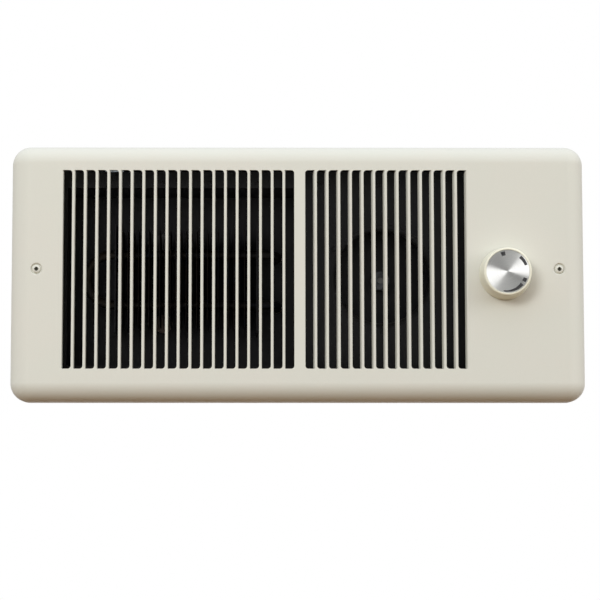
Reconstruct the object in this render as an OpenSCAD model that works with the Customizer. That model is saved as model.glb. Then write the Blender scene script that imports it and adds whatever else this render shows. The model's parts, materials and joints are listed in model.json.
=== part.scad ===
// Recessed wall fan heater: formed steel front cover, wall box, blower, finned element and thermostat.
// Origin on the finished wall, at the centre of the four wall screws. +X to the right, +Z up, -Y to the room.

/* [Front cover] */
// Width of the front cover
cover_w = 487.4; // [476:0.2:520]
// Height of the front cover
cover_h = 218.5; // [208:0.5:240]
// How far the cover stands out from the wall
cover_d = 25; // [22:0.5:32]
// Radius of the rolled edge and of the corners
edge_r = 16; // [8:0.5:17]
// Thickness of the cover's sheet steel
sheet_t = 0.9; // [0.6:0.1:1.2]
// Distance of each cover screw from the cover's edge
cover_screw_inset = 22.7; // [21.7:0.1:26.7]
// Diameter of the dimple round a cover screw
dimple_d = 10.6; // [9.6:0.2:11]
// Depth of that dimple
dimple_depth = 1.6; // [1.2:0.1:2]

/* [Grille] */
// Distance from one slot to the next
slot_pitch = 9.9; // [9.2:0.1:10.3]
// Clear width of a slot
slot_open = 7.6; // [6:0.05:7.6]
// Height of a slot
slot_h = 169; // [140:1:176]
// Radius of the corners on a slot's free side
slot_r = 2.6; // [1:0.1:3.2]
// Distance of the left, outlet bank from the cover's edge, filled with as many slots as fit
grille_inset = 44.8; // [43:0.1:60]
// Strip between the right, intake bank and the knob, with as many slots as fit beside it
knob_land = 10.5; // [6:0.5:22]
// Width of the plain strip between the two banks
centre_land = 9.3; // [6:0.1:14]
// Distance of that strip from the cover's middle, to the right
centre_land_x = 1.5; // [0:0.1:2]
// Height of the slots' middle and of the cover screws over the cover's middle
face_rise = 2.7; // [0:0.1:4]
// Outer radius of a tab's bend
tab_bend_r = 1.2; // [1.2:0.05:1.6]
// Depth of a tab behind the cover's face
tab_depth = 7; // [4:0.25:9]
// Lean of the intake bank's tabs into their slots, in degrees
intake_lean = 8; // [0:1:14]

/* [Knob] */
// Distance of the knob's axis from the cover's right edge
knob_inset = 68.7; // [62.7:0.5:71.7]
// Height of the knob's axis over the middle
knob_z = -1.5; // [-12:0.5:12]
// Diameter of the knob at its base
knob_base_d = 44; // [41:0.2:46]
// Diameter of the knob at its top
knob_top_d = 40.4; // [39:0.2:40.8]
// Height of the knob
knob_h = 18; // [14:0.5:24]
// Wall of the knob's shell
knob_wall = 2; // [1.4:0.1:2.6]
// Gap between the knob and the cover
knob_gap = 0.8; // [0.4:0.1:2]
// Diameter of the metal disc set in the knob
insert_d = 36.4; // [30:0.2:37.4]
// Thickness of that disc
insert_t = 0.8; // [0.5:0.1:1.2]
// Turn of the pointer mark to the left of the top, in degrees
pointer_turn = 17; // [0:1:60]

/* [Wall box] */
// How far the cover reaches past each side of the wall box
box_reach = 37.7; // [35.2:0.5:38.7]
// Space over and under the plenum for the lugs that carry the chassis
lug_space = 14; // [10:0.5:14]
// Thickness of the wall box sheet
box_t = 1; // [0.8:0.1:1.4]
// Distance of the wall screws from the cover's edge
wall_screw_inset = 25.7; // [23.7:0.5:27.7]
// Height of the wall screws over and under the middle
wall_screw_z = 62; // [40:1:70]
// Diameter of a wall screw hole
wall_hole_d = 5; // [4:0.1:6]
// Hole for the supply cable's connector
supply_hole_d = 22.2; // [20:0.1:24]

/* [Blower] */
// Diameter of the blower wheel
wheel_d = 104; // [96:1:108]
// Width of the blower wheel
wheel_w = 34; // [26:1:40]
// Number of blades
blades = 32; // [20:1:36]
// Growth of the scroll from one quarter to the next
scroll_step = 7; // [5:0.5:7.5]
// Diameter of the shaft
shaft_d = 5; // [4:0.1:6]
// Thickness of the motor's iron stack
stack_t = 14; // [10:1:18]

/* [Element] */
// Diameter of the element's sheath
sheath_d = 8; // [6:0.5:9]
// Distance between the two runs of the sheath
run_gap = 44; // [38:1:52]
// Height of a fin
fin_h = 84; // [74:1:96]
// Depth of a fin, front to back
fin_w = 30; // [22:1:34]
// Distance from one fin to the next
fin_pitch = 4.6; // [4:0.1:8]
// Thickness of a fin
fin_t = 0.4; // [0.3:0.1:0.6]

/* [Hidden] */
$fn = 64;

// Colours
enamel = "#d7d8cc";
knob_cream = "#cdcab2";
spun_metal = "#b9b9b6";
plated = "#aeb1b3";
galvanised = "#9ea3a6";
dark_steel = "#2b2c2d";
black = "#1b1b1c";
iron = "#6a6c70";
copper = "#b06a3b";
brass = "#b8974e";
nylon = "#e7e2d2";
ceramic = "#efece2";
cast_zinc = "#9b9da0";

// Clearances
slide_fit = 0.05;
press_fit = 0.02;
loose_fit = 0.3;
sheet_gap = 1;

// Cover
cover_x = cover_w / 2;
cover_z = cover_h / 2;
flat_w = cover_w - 2 * edge_r;
flat_h = cover_h - 2 * edge_r;
cover_screw_x = cover_x - cover_screw_inset;
knob_x = cover_x - knob_inset;
slot_cut = slot_open + tab_bend_r;
slot_bar = slot_pitch - slot_open;
count_slack = 0.1;
left_room = cover_x + centre_land_x - grille_inset - centre_land / 2;
right_room = knob_x - centre_land_x - knob_base_d / 2 - knob_land - centre_land / 2;
left_slots = floor((left_room + slot_bar + count_slack) / slot_pitch);
right_slots = floor((right_room + slot_bar + count_slack) / slot_pitch);
left_bank_w = (left_slots - 1) * slot_pitch + slot_open;
left_bank_x = centre_land_x - centre_land / 2 - left_bank_w;
right_bank_x = centre_land_x + centre_land / 2;
bend_steps = 5;
corner_steps = 6;
knob_hole_d = 14;

// Cover screws
screw_shank_d = 3.6;
screw_head_d = 7;
screw_head_h = 2.2;
screw_hole_d = 4.4;
screw_slack = 6;
screw_recess_d = 3.6;
dimple_floor_y = -cover_d + dimple_depth;
dimple_floor_r = 4;
post_d = 9;
post_len = 12;
dimple_spread = 0.3;
dimple_weld = 0.3;

// Wall box
box_x = cover_x - box_reach;
box_in_x = box_x - box_t;
wall_screw_x = cover_x - wall_screw_inset;
ear_end = 8;
ear_w = max(cover_screw_x, wall_screw_x) + ear_end;
ear_h = 2 * (wall_screw_z + ear_end + 3);
seat_y = 6;
lug_w = 16;
lug_h = lug_space - 2;
lug_x = box_in_x - 47;
lug_hole_d = 3.2;
flange_w = 8;
knockout_ring_w = 0.6;
back_knockout_z = 40;
stud_hole_d = 5;
stud_y = 45;
stud_span_y = 50;
stud_span_z = 110;
supply_x = knob_x;
supply_y = 62;

// Chassis
chassis_t = 1;
deck_y = seat_y - chassis_t;
deck_x = box_in_x - sheet_gap;
plenum_side_gap = 6;
plenum_left_x = -box_in_x + plenum_side_gap;
plenum_head = 1.5;
duct_tab_w = 12;
duct_tab_h = 6;
chassis_head_d = 6;
chassis_head_h = 2;
chassis_screw_len = 6;

// Blower
wheel_r = wheel_d / 2;
blade_band = 10;
wheel_eye_r = wheel_r - blade_band;
inlet_gap = 8;
inlet_lip = inlet_gap - 1.5;
inlet_flare = 5;
inlet_wall = 0.8;
inlet_inset = 2;
wheel_y = seat_y + inlet_gap;
wheel_back_y = wheel_y + wheel_w;
wheel_back_gap = 4;
scroll_back_y = wheel_back_y + wheel_back_gap;
scroll_t = 1;
cutoff_gap = 6;
scroll_r = wheel_r + cutoff_gap;
plate_margin = 6;
divider_t = 1;
divider_gap = 1;
wiring_gap = 2.3;
thermostat_w = 42;
thermostat_rim = 1;
divider_x = knob_x - thermostat_w / 2 - thermostat_rim - wiring_gap - divider_t;
blower_x = divider_x - divider_gap - plate_margin - scroll_t - scroll_r - scroll_step * 1.5;
scroll_right_x = blower_x + scroll_step * 1.5 + scroll_r;
scroll_left_x = blower_x + scroll_step / 2 - scroll_r;
scroll_top_z = scroll_step * 2.5 + scroll_r;
scroll_low_z = -scroll_step / 2 - scroll_r;
tongue_r = 5;
outlet_run = 7;
outlet_x = scroll_left_x - tongue_r - outlet_run;
tongue_x = scroll_left_x - tongue_r;
outlet_low_z = -scroll_step / 2 + tongue_r;
plenum_z = scroll_top_z + scroll_t + plenum_head;
box_in_z = plenum_z + lug_space;
box_z = box_in_z + box_t;
deck_z = box_in_z - sheet_gap;
rivet_d = 2.4;
rivet_head_d = 4.6;
rivet_head_h = 1.1;
rivet_tail = 0.8;
rivet_flange_r = wheel_eye_r + 6;
outlet_rivet_run = 12;
eye_margin = 3;
blade_t = 0.8;
hub_d = 16;
hub_len = 14;
hub_spigot_d = 11;
rim_t = 1.5;
disc_t = 1.2;
blade_inset = 0.7;
set_screw_d = 3;
set_screw_slot_w = 0.6;
set_screw_slot_h = 0.9;
divider_margin = 14;
divider_end_z = deck_z - divider_margin;
divider_foot_w = 9;
divider_foot_h = 12;
divider_foot_z = divider_end_z - divider_foot_h / 2;
divider_rivet_x = 5;
divider_hole_d = 10;
divider_hole_z = 40;
divider_over = 6;

// Motor
motor_gap = 5;
bracket_t = 3;
bracket_gap = 4;
motor_y = scroll_back_y + scroll_t + motor_gap;
stack_y = motor_y + bracket_t + bracket_gap;
stack_back_y = stack_y + stack_t;
rear_bracket_y = stack_back_y + bracket_gap;
bracket_end = 6;
bracket_h = 16;
bracket_post_d = 9;
bearing_boss_d = 15;
bearing_boss_h = 3;
front_boss_h = 2;
bearing_d = 10;
shaft_over = 1.5;
shaft_end_y = rear_bracket_y + bracket_t + bearing_boss_h + shaft_over;
shaft_front_y = wheel_back_y - hub_len - shaft_over;
rotor_d = 25.2;
air_gap = 0.4;
rotor_bore_d = rotor_d + 2 * air_gap;
rotor_over = 2;
rotor_bars = 12;
rotor_bar_d = 1.6;
rotor_bar_inset = 3;
pole_x = 28;
pole_z = 20;
leg_w = 10;
yoke_low_z = -50;
yoke_h = 12;
motor_screw_x = 21;
motor_screw_d = 4;
motor_head_d = 7.5;
motor_head_h = 2.4;
ring_wire = 1.6;
ring_x = 14.5;
ring_w = 2.5;
ring_z = 6;
ring_play = 0.1;
bobbin_play = 0.2;
bobbin_end_gap = 2;
winding_t = 5;
winding_rim = 0.8;
bobbin_t = 1.2;
flange_t = 1.2;
grommet_d = 11;
motor_screw_play = 0.2;
back_clear = 3.5;
box_back_y = shaft_end_y + back_clear + box_t;

// Element
element_y = 30;
run_z = run_gap / 2;
bend_r = run_gap / 2;
element_end_gap = 12;
elbow_r = 14;
elbow_gap = 24;
element_back_gap = 12;
sheath_over = 5;
run_left_x = plenum_left_x + element_end_gap + bend_r + sheath_d / 2;
run_right_x = outlet_x - elbow_gap - elbow_r;
plenum_back_y = element_y + fin_w / 2 + element_back_gap;
sheath_end_y = plenum_back_y + chassis_t + sheath_over;
fin_inset = 8;
element_bracket_t = 1;
element_bracket_x = 3;
element_bracket_over = 5;
element_foot_w = 9;
bushing_rim = 1;
bushing_rim_t = 2;
bushing_d = 12;
bushing_len = 9;
pin_d = 3.4;
pin_len = 20;
fin_span = run_right_x - run_left_x - 2 * fin_inset;
fin_count = floor(fin_span / fin_pitch) + 1;

// Snap switches on the back of the plenum
switch_x = run_left_x + 43;
switch_z = 36;
switch_d = 16;
switch_h = 11;
switch_flange_w = 34;
switch_flange_t = 1.2;
switch_flange_h = 11;
switch_cap = 2;
switch_hole_x = 12.5;
switch_screw_d = 3;
switch_head_d = 5.4;
switch_head_h = 1.8;
switch_recess_d = 2.8;
switch_screw_over = 2.5;
spade_w = 6.3;
spade_t = 0.8;
spade_len = 8;
switch_spade_x = 4.5;

// Thermostat
thermostat_h = 32;
thermostat_len = 38;
thermostat_plate_t = 1.2;
bushing_thread_d = 9.4;
bushing_over = 7;
bushing_front_y = deck_y - bushing_over;
stem_socket = 12;
thermostat_spade_x = 10;
thermostat_spade_drop = 8;
stem_d = 6;
stem_flat = 1.2;
nut_w = 14;
nut_t = 2.4;
stem_end_gap = 5;
stem_flat_run = 3;
hub_bore_y = -cover_d - knob_gap - knob_h + stem_end_gap;
stem_round_y = -cover_d + stem_flat_run;

// Knob
knob_y = -cover_d - knob_gap;
knob_face_y = knob_y - knob_h;
knob_round = min(1.6, (knob_top_d - insert_d) / 2 - 0.2);
insert_sink = 0.3;
insert_y = knob_face_y + insert_sink;
insert_seat_y = insert_y + insert_t;
knob_hub_d = 11;
knob_hub_over = 1;
knob_rib_t = 1.4;
knob_rib_inset = 4;
knob_ribs = 3;
pointer_d = 2.4;
pointer_inset = 2.6;
pointer_sink = 0.1;
pointer_r = insert_d / 2 - pointer_inset;
clip_t = 0.7;
clip_w = 2.5;
clip_gap = 2;

// Terminal block
block_w = 36;
block_h = 16;
block_d = 15;
block_z = -52;
block_x = (divider_x + box_in_x) / 2;
block_wall_t = 1.6;
block_wall_h = 5;
block_screws = 3;
block_step = (block_w - block_wall_t) / block_screws;
block_row_z = 4.8;
block_screw_d = 5;
block_head_h = 2;
block_shank_d = 3;
block_shank_len = 3.6;
block_recess_d = 2.6;
block_well_play = 0.1;
ground_up = 30;
ground_head_d = 8;
ground_head_h = 2.6;
ground_len = 4;

// Leads: routes between the pieces that they join
lead_r = 1.4;
lead_sides = 8;
lead_low_z = -box_in_z + 6;
lead_back_y = box_back_y - box_t - 6;
lead_block_y = box_back_y - box_t - block_d / 2 + 2;

// Points on an arc, from angle a0 to angle a1
function arc(cx, cy, r, a0, a1, n) =
    [for (i = [0 : n]) let (a = a0 + (a1 - a0) * i / n) [cx + r * cos(a), cy + r * sin(a)]];

// A flat outline in X and Z, made a plate from y0 back to y1
module slab(y0, y1) {
    translate([0, y1, 0])
        rotate([90, 0, 0])
            linear_extrude(height = y1 - y0)
                children();
}

// A round bar along Y
module rod(x, z, r, y0, y1) {
    translate([x, y1, z])
        rotate([90, 0, 0])
            cylinder(r = r, h = y1 - y0);
}

// A box from its lowest to its highest corner
module block(x0, x1, y0, y1, z0, z1) {
    translate([x0, y0, z0])
        cube([x1 - x0, y1 - y0, z1 - z0]);
}

// A shape and its mirror image to the left
module both_sides() {
    children();
    mirror([1, 0, 0])
        children();
}

// A shape and its mirror image below
module above_and_below() {
    children();
    mirror([0, 0, 1])
        children();
}

// Four-sided ring in X and Z
module frame_outline(x0, x1, z0, z1, t) {
    difference() {
        translate([x0, z0])
            square([x1 - x0, z1 - z0]);
        translate([x0 + t, z0 + t])
            square([x1 - x0 - 2 * t, z1 - z0 - 2 * t]);
    }
}

// ---------------------------------------------------------------- front cover

// Section of the rolled edge: a quarter round, then a straight skirt down to the wall
module edge_section() {
    intersection() {
        difference() {
            circle(r = edge_r);
            circle(r = edge_r - sheet_t);
        }
        square(edge_r + 1);
    }
    translate([edge_r - sheet_t, edge_r - cover_d])
        square([sheet_t, cover_d - edge_r]);
}

// One straight rolled edge, at a distance from the middle
module cover_edge(reach, length) {
    translate([reach - edge_r, length / 2, cover_d - edge_r])
        rotate([90, 0, 0])
            linear_extrude(height = length)
                edge_section();
}

module cover_corner() {
    translate([flat_w / 2, flat_h / 2, cover_d - edge_r])
        rotate_extrude(angle = 90)
            edge_section();
}

// A slot's outline: square at the bend, rounded on the free side
module slot_outline() {
    polygon(concat(
        [[0, slot_h / 2], [0, -slot_h / 2]],
        arc(slot_cut - slot_r, slot_r - slot_h / 2, slot_r, -90, 0, corner_steps),
        arc(slot_cut - slot_r, slot_h / 2 - slot_r, slot_r, 0, 90, corner_steps)
    ));
}

// Section of a tab bent back from the face; the bend starts at the origin
module tab_section(lean) {
    inner_r = tab_bend_r - sheet_t + slide_fit / 5;
    leg = tab_depth - tab_bend_r;
    polygon(concat(
        arc(0, -tab_bend_r, tab_bend_r, 90, lean, bend_steps),
        [
            [
                tab_bend_r * cos(lean) + leg * sin(lean),
                -tab_bend_r + tab_bend_r * sin(lean) - leg * cos(lean)
            ],
            [inner_r * cos(lean) + leg * sin(lean), -tab_bend_r + inner_r * sin(lean) - leg * cos(lean)]
        ],
        arc(0, -tab_bend_r, inner_r, lean, 90, bend_steps)
    ));
}

module tab(lean) {
    translate([0, slot_h / 2, cover_d])
        rotate([90, 0, 0])
            linear_extrude(height = slot_h)
                tab_section(lean);
}

// Places one child at the bend of each slot of a bank
module outlet_bank() {
    for (i = [0 : left_slots - 1])
        translate([left_bank_x + i * slot_pitch - tab_bend_r, face_rise, 0])
            children();
}

module intake_bank() {
    for (i = [0 : right_slots - 1])
        translate([right_bank_x + i * slot_pitch + slot_cut, face_rise, 0])
            mirror([1, 0, 0])
                children();
}

module cover_face() {
    translate([0, 0, cover_d - sheet_t])
        linear_extrude(height = sheet_t)
            difference() {
                square([flat_w, flat_h], center = true);
                outlet_bank()
                    slot_outline();
                intake_bank()
                    slot_outline();
                for (side = [-1, 1])
                    translate([side * cover_screw_x, face_rise])
                        circle(d = dimple_d);
                translate([knob_x, knob_z])
                    circle(d = knob_hole_d);
            }
}

// Dished seat of a cover screw
module dimple() {
    rotate_extrude()
        polygon([
            [screw_hole_d / 2, -dimple_depth],
            [dimple_floor_r, -dimple_depth],
            [dimple_d / 2, 0],
            [dimple_d / 2 + dimple_weld, -sheet_t / 3],
            [dimple_d / 2 + dimple_weld, -sheet_t * 2 / 3],
            [dimple_d / 2, -sheet_t],
            [dimple_floor_r + dimple_spread, -dimple_depth - sheet_t],
            [screw_hole_d / 2, -dimple_depth - sheet_t]
        ]);
}

module front_cover() {
    color(enamel)
        rotate([90, 0, 0]) {
            cover_face();
            both_sides()
                cover_edge(cover_x, flat_h);
            rotate([0, 0, 90])
                both_sides()
                    cover_edge(cover_z, flat_w);
            for (turn = [0, 180])
                rotate([0, 0, turn]) {
                    cover_corner();
                    mirror([1, 0, 0])
                        cover_corner();
                }
            outlet_bank()
                tab(0);
            intake_bank()
                tab(intake_lean);
            for (side = [-1, 1])
                translate([side * cover_screw_x, face_rise, cover_d])
                    dimple();
        }
}

// Cross-shaped driver recess
module cross_recess(d, depth) {
    for (turn = [0, 90])
        rotate([0, 0, turn])
            translate([-d / 2, -d / 10, -depth])
                cube([d, d / 5, depth + 1]);
}

// Pan-headed screw: seat at the origin, head towards the room, shank into the wall
module pan_screw(head_d, head_h, shank_d, length, recess_d) {
    rotate([90, 0, 0]) {
        difference() {
            rotate_extrude()
                polygon(concat(
                    [[0, 0], [head_d / 2, 0], [head_d / 2, head_h * 0.35]],
                    [for (i = [1 : 5]) let (a = 90 * i / 6)
                        [head_d / 2 * cos(a), head_h * (0.35 + 0.65 * sin(a))]],
                    [[0, head_h]]
                ));
            translate([0, 0, head_h])
                cross_recess(recess_d, head_h * 0.6);
        }
        translate([0, 0, -length])
            cylinder(d = shank_d, h = length);
    }
}

module cover_screws() {
    color(enamel)
        for (side = [-1, 1])
            translate([side * cover_screw_x, dimple_floor_y, face_rise])
                pan_screw(screw_head_d, screw_head_h, screw_shank_d,
                    -dimple_floor_y - box_t - screw_slack, screw_recess_d);
}

// ---------------------------------------------------------------- knob

module knob() {
    base_r = knob_base_d / 2;
    top_r = knob_top_d / 2;
    color(knob_cream)
        difference() {
            translate([knob_x, 0, knob_z])
                rotate([90, 0, 0])
                    union() {
                        rotate_extrude()
                            polygon(concat(
                                [[base_r - knob_wall, -knob_y], [base_r, -knob_y]],
                                arc(top_r - knob_round, -knob_face_y - knob_round,
                                    knob_round, 0, 90, corner_steps),
                                [
                                    [insert_d / 2 + slide_fit, -knob_face_y],
                                    [insert_d / 2 + slide_fit, -insert_seat_y],
                                    [0, -insert_seat_y],
                                    [0, -insert_seat_y - knob_wall],
                                    [top_r - knob_wall, -insert_seat_y - knob_wall]
                                ]
                            ));
                        translate([0, 0, -knob_y - knob_hub_over])
                            cylinder(d = knob_hub_d,
                                h = knob_y - insert_seat_y + knob_hub_over - knob_wall / 2);
                        for (i = [0 : knob_ribs - 1])
                            rotate([0, 0, i * 360 / knob_ribs])
                                translate([knob_hub_d / 2 - 1, -knob_rib_t / 2, -knob_y + knob_rib_inset])
                                    cube([
                                        top_r - knob_wall / 2 - knob_hub_d / 2 + 1,
                                        knob_rib_t,
                                        knob_y - insert_seat_y - knob_wall / 2 - knob_rib_inset
                                    ]);
                    }
            translate([knob_x, 0, knob_z])
                knob_bore();
        }
}

// D-shaped hole for the thermostat's stem
module knob_bore() {
    slab(hub_bore_y - loose_fit, stem_round_y)
        stem_outline(stem_d / 2 + slide_fit, stem_flat - slide_fit);
}

module stem_outline(r, flat) {
    intersection() {
        circle(r = r);
        translate([-r, -r])
            square([2 * r, 2 * r - flat]);
    }
}

module knob_insert() {
    color(spun_metal)
        difference() {
            slab(insert_y, insert_seat_y)
                translate([knob_x, knob_z])
                    circle(d = insert_d);
            pointer_at()
                rod(0, 0, pointer_d / 2 + press_fit / 2, insert_y - 1, insert_seat_y + 1);
        }
}

// Place of the pointer mark on the knob's face
module pointer_at() {
    translate([knob_x, 0, knob_z])
        rotate([0, -pointer_turn, 0])
            translate([0, 0, pointer_r])
                children();
}

module knob_pointer() {
    color(black)
        pointer_at()
            rod(0, 0, pointer_d / 2, insert_y + pointer_sink, insert_seat_y);
}

// Spring clip round the knob's hub
module knob_clip() {
    color(plated)
        translate([knob_x, 0, knob_z])
            slab(knob_y - knob_hub_over - clip_w, knob_y - knob_hub_over)
                difference() {
                    circle(d = knob_hub_d + 2 * clip_t);
                    circle(d = knob_hub_d + 2 * slide_fit);
                    translate([-clip_gap / 2, -knob_hub_d])
                        square([clip_gap, knob_hub_d]);
                }
}

// ---------------------------------------------------------------- wall box

module knockout_ring(x, y) {
    translate([x, y, 0])
        difference() {
            cylinder(d = supply_hole_d, h = box_t);
            translate([0, 0, -1])
                cylinder(d = supply_hole_d - 2 * knockout_ring_w, h = box_t + 2);
        }
}

// Top, back and bottom of the wall box, bent from one sheet
module wall_box() {
    color(galvanised) {
        difference() {
            block(-box_in_x, box_in_x, -box_t, box_back_y, -box_z, box_z);
            block(-box_x, box_x, -box_t - 1, box_back_y - box_t, -box_in_z, box_in_z);
            translate([supply_x, supply_y, -box_z - 1])
                cylinder(d = supply_hole_d, h = box_t + 2);
            for (x = [-supply_x, 0])
                translate([0, 0, -box_z - box_t / 2])
                    knockout_ring(x, supply_y);
            translate([supply_x, 0, 0])
                rotate([-90, 0, 0])
                    translate([0, -back_knockout_z, box_back_y - box_t / 2])
                        knockout_ring(0, 0);
            for (z = [block_z, block_z + ground_up])
                rod(block_x, z, screw_shank_d / 2, box_back_y - 2 * box_t, box_back_y + box_t);
        }
        above_and_below()
            both_sides()
                chassis_lug();
    }
}

// Ends of the wall box: plates with an ear turned out and flanges turned in
module box_ends() {
    color(galvanised)
        both_sides() {
            difference() {
                block(box_in_x, box_x, -box_t, box_back_y, -box_z, box_z);
                for (y = [-1, 1], z = [-1, 1])
                    translate([box_in_x - 1, stud_y + y * stud_span_y / 2, z * stud_span_z / 2])
                        rotate([0, 90, 0])
                            cylinder(d = stud_hole_d, h = box_t + 2);
            }
            wall_ear();
            block(box_in_x - flange_w, box_in_x, box_back_y - 2 * box_t, box_back_y - box_t,
                flange_w - box_in_z, box_in_z - flange_w);
            above_and_below()
                block(box_in_x - flange_w, box_in_x, seat_y + flange_w, box_back_y - flange_w,
                    box_in_z - box_t, box_in_z);
        }
}

module wall_ear() {
    slab(-box_t, 0)
        difference() {
            translate([box_x, -ear_h / 2])
                square([ear_w - box_x, ear_h]);
            for (z = [-wall_screw_z, wall_screw_z])
                translate([wall_screw_x, z])
                    circle(d = wall_hole_d);
            translate([cover_screw_x, face_rise])
                circle(d = screw_shank_d + 2 * loose_fit);
        }
}

// Inward lug that carries a corner of the heater's chassis
module chassis_lug() {
    slab(seat_y, seat_y + box_t)
        difference() {
            translate([lug_x - lug_w / 2, box_in_z - lug_h])
                square([lug_w, lug_h]);
            translate([lug_x, box_in_z - lug_h / 2])
                circle(d = lug_hole_d);
        }
}

// Threaded posts that take the cover screws
module cover_posts() {
    color(plated)
        for (side = [-1, 1])
            difference() {
                rod(side * cover_screw_x, face_rise, post_d / 2, -box_t - post_len, -box_t);
                rod(side * cover_screw_x, face_rise, screw_shank_d / 2 + press_fit, -box_t - post_len - 1, 1);
            }
}

module ground_screw() {
    color("#3f7f4a")
        translate([block_x, box_back_y - box_t, block_z + ground_up])
            pan_screw(ground_head_d, ground_head_h, screw_shank_d - 2 * press_fit, ground_len,
                screw_recess_d);
}

module terminal_block() {
    low_x = block_x - block_w / 2;
    low_z = block_z - block_h / 2;
    y = box_back_y - box_t - block_d;
    color(black)
        difference() {
            union() {
                block(low_x, low_x + block_w, y + block_wall_h, y + block_d, low_z, low_z + block_h);
                for (i = [0 : block_screws])
                    translate([low_x + i * block_step, 0, 0])
                        block(0, block_wall_t, y, y + block_wall_h, low_z, low_z + block_h);
            }
            rod(block_x, block_z, screw_shank_d / 2, y - 1, y + block_d + 1);
            terminal_places()
                rod(0, 0, block_shank_d / 2 + block_well_play, y + 1,
                    y + block_wall_h + block_shank_len + block_well_play);
        }
}

function block_place(i) = block_x + (i - (block_screws - 1) / 2) * block_step;

module terminal_places() {
    for (i = [0 : block_screws - 1], side = [-1, 1])
        translate([block_place(i), 0, block_z + side * block_row_z])
            children();
}

module terminal_screws() {
    seat = box_back_y - box_t - block_d + block_wall_h;
    color(brass)
        terminal_places()
            translate([0, seat, 0])
                pan_screw(block_screw_d, block_head_h, block_shank_d, block_shank_len, block_recess_d);
}

// ---------------------------------------------------------------- chassis

// Plate that closes the wall box's front, with the outlet window and the inlet hole
module heater_deck() {
    color(dark_steel)
        slab(deck_y, seat_y)
            difference() {
                translate([-deck_x, -deck_z])
                    square([2 * deck_x, 2 * deck_z]);
                translate([plenum_left_x + chassis_t, -plenum_z + chassis_t])
                    square([outlet_x - plenum_left_x - 2 * chassis_t, 2 * plenum_z - 2 * chassis_t]);
                translate([blower_x, 0])
                    circle(r = wheel_eye_r + eye_margin);
                translate([knob_x, knob_z])
                    circle(d = bushing_thread_d + 2 * slide_fit);
                for (x = [-lug_x, lug_x], z = [-1, 1])
                    translate([x, z * (box_in_z - lug_h / 2)])
                        circle(d = lug_hole_d + 2 * loose_fit);
                rivet_places()
                    circle(d = rivet_d);
            }
}

// Duct that turns the air forward through the element, riveted on the deck by its tabs
module heater_plenum() {
    color(dark_steel) {
        difference() {
            slab(seat_y, plenum_back_y)
                frame_outline(plenum_left_x, outlet_x, -plenum_z, plenum_z, chassis_t);
            block(outlet_x - 2 * chassis_t, outlet_x + 1, seat_y, scroll_back_y, outlet_low_z, scroll_top_z);
        }
        plenum_back();
        slab(seat_y, seat_y + chassis_t)
            difference() {
                duct_tab_places()
                    translate([-duct_tab_w / 2, -duct_tab_h / 2])
                        square([duct_tab_w, duct_tab_h]);
                rivet_places()
                    circle(d = rivet_d);
            }
    }
}

module duct_tab_places() {
    for (i = [2 : 4], side = [-1, 1])
        translate([plenum_left_x + (outlet_x - plenum_left_x) * i / 5, side * (plenum_z + duct_tab_h / 2)])
            children();
}

// Rivets that hold the scroll, the inlet ring, the duct and the divider on the deck
module rivet_places() {
    middle = scroll_t + plate_margin / 2;
    for (p = [
        [blower_x + scroll_step / 2, scroll_low_z - middle],
        [scroll_right_x + middle, scroll_step / 2],
        [blower_x - scroll_step / 2, scroll_top_z + middle],
        [outlet_x + outlet_rivet_run, scroll_top_z + middle],
        [divider_x + divider_rivet_x, divider_foot_z],
        [divider_x + divider_rivet_x, -divider_foot_z]
    ])
        translate(p)
            children();
    duct_tab_places()
        children();
    for (turn = [30 : 120 : 270])
        translate([blower_x + rivet_flange_r * cos(turn), rivet_flange_r * sin(turn)])
            children();
}

module deck_rivets() {
    tail = rivet_tail;
    color(dark_steel)
        rotate([90, 0, 0])
            rivet_places() {
                translate([0, 0, -seat_y - scroll_t - tail])
                    cylinder(d = rivet_d, h = chassis_t + scroll_t + tail);
                translate([0, 0, -deck_y])
                    rotate_extrude()
                        polygon(concat([[0, 0]], [for (i = [0 : bend_steps]) let (a = 90 * i / bend_steps)
                            [rivet_head_d / 2 * cos(a), rivet_head_h * sin(a)]]));
            }
}

// Upright plate between the blower and the wiring space
module wiring_divider() {
    half = divider_foot_h / 2;
    color(galvanised)
        difference() {
            union() {
                block(divider_x, divider_x + divider_t, seat_y, scroll_back_y + divider_over,
                    -divider_end_z, divider_end_z);
                for (z = [-divider_foot_z, divider_foot_z])
                    block(divider_x, divider_x + divider_foot_w, seat_y, seat_y + divider_t,
                        z - half, z + half);
            }
            for (z = [-divider_foot_z, divider_foot_z])
                rod(divider_x + divider_rivet_x, z, rivet_d / 2, seat_y - 1, seat_y + divider_t + 1);
            translate([divider_x - 1, scroll_back_y - divider_over, -divider_hole_z])
                rotate([0, 90, 0])
                    cylinder(d = divider_hole_d, h = divider_t + 2);
        }
}

module chassis_screws() {
    color(dark_steel)
        for (x = [-lug_x, lug_x], z = [-1, 1])
            translate([x, deck_y, z * (box_in_z - lug_h / 2)])
                pan_screw(chassis_head_d, chassis_head_h, lug_hole_d - 2 * slide_fit, chassis_screw_len,
                    chassis_head_d / 2);
}

// ---------------------------------------------------------------- blower

// Quarter of a ring that grows outwards from r, in the quadrant that starts at an angle
module ring_quarter(r, t, start) {
    intersection() {
        difference() {
            circle(r = r + t);
            circle(r = r);
        }
        rotate(start)
            square(r + t + 1);
    }
}

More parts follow.
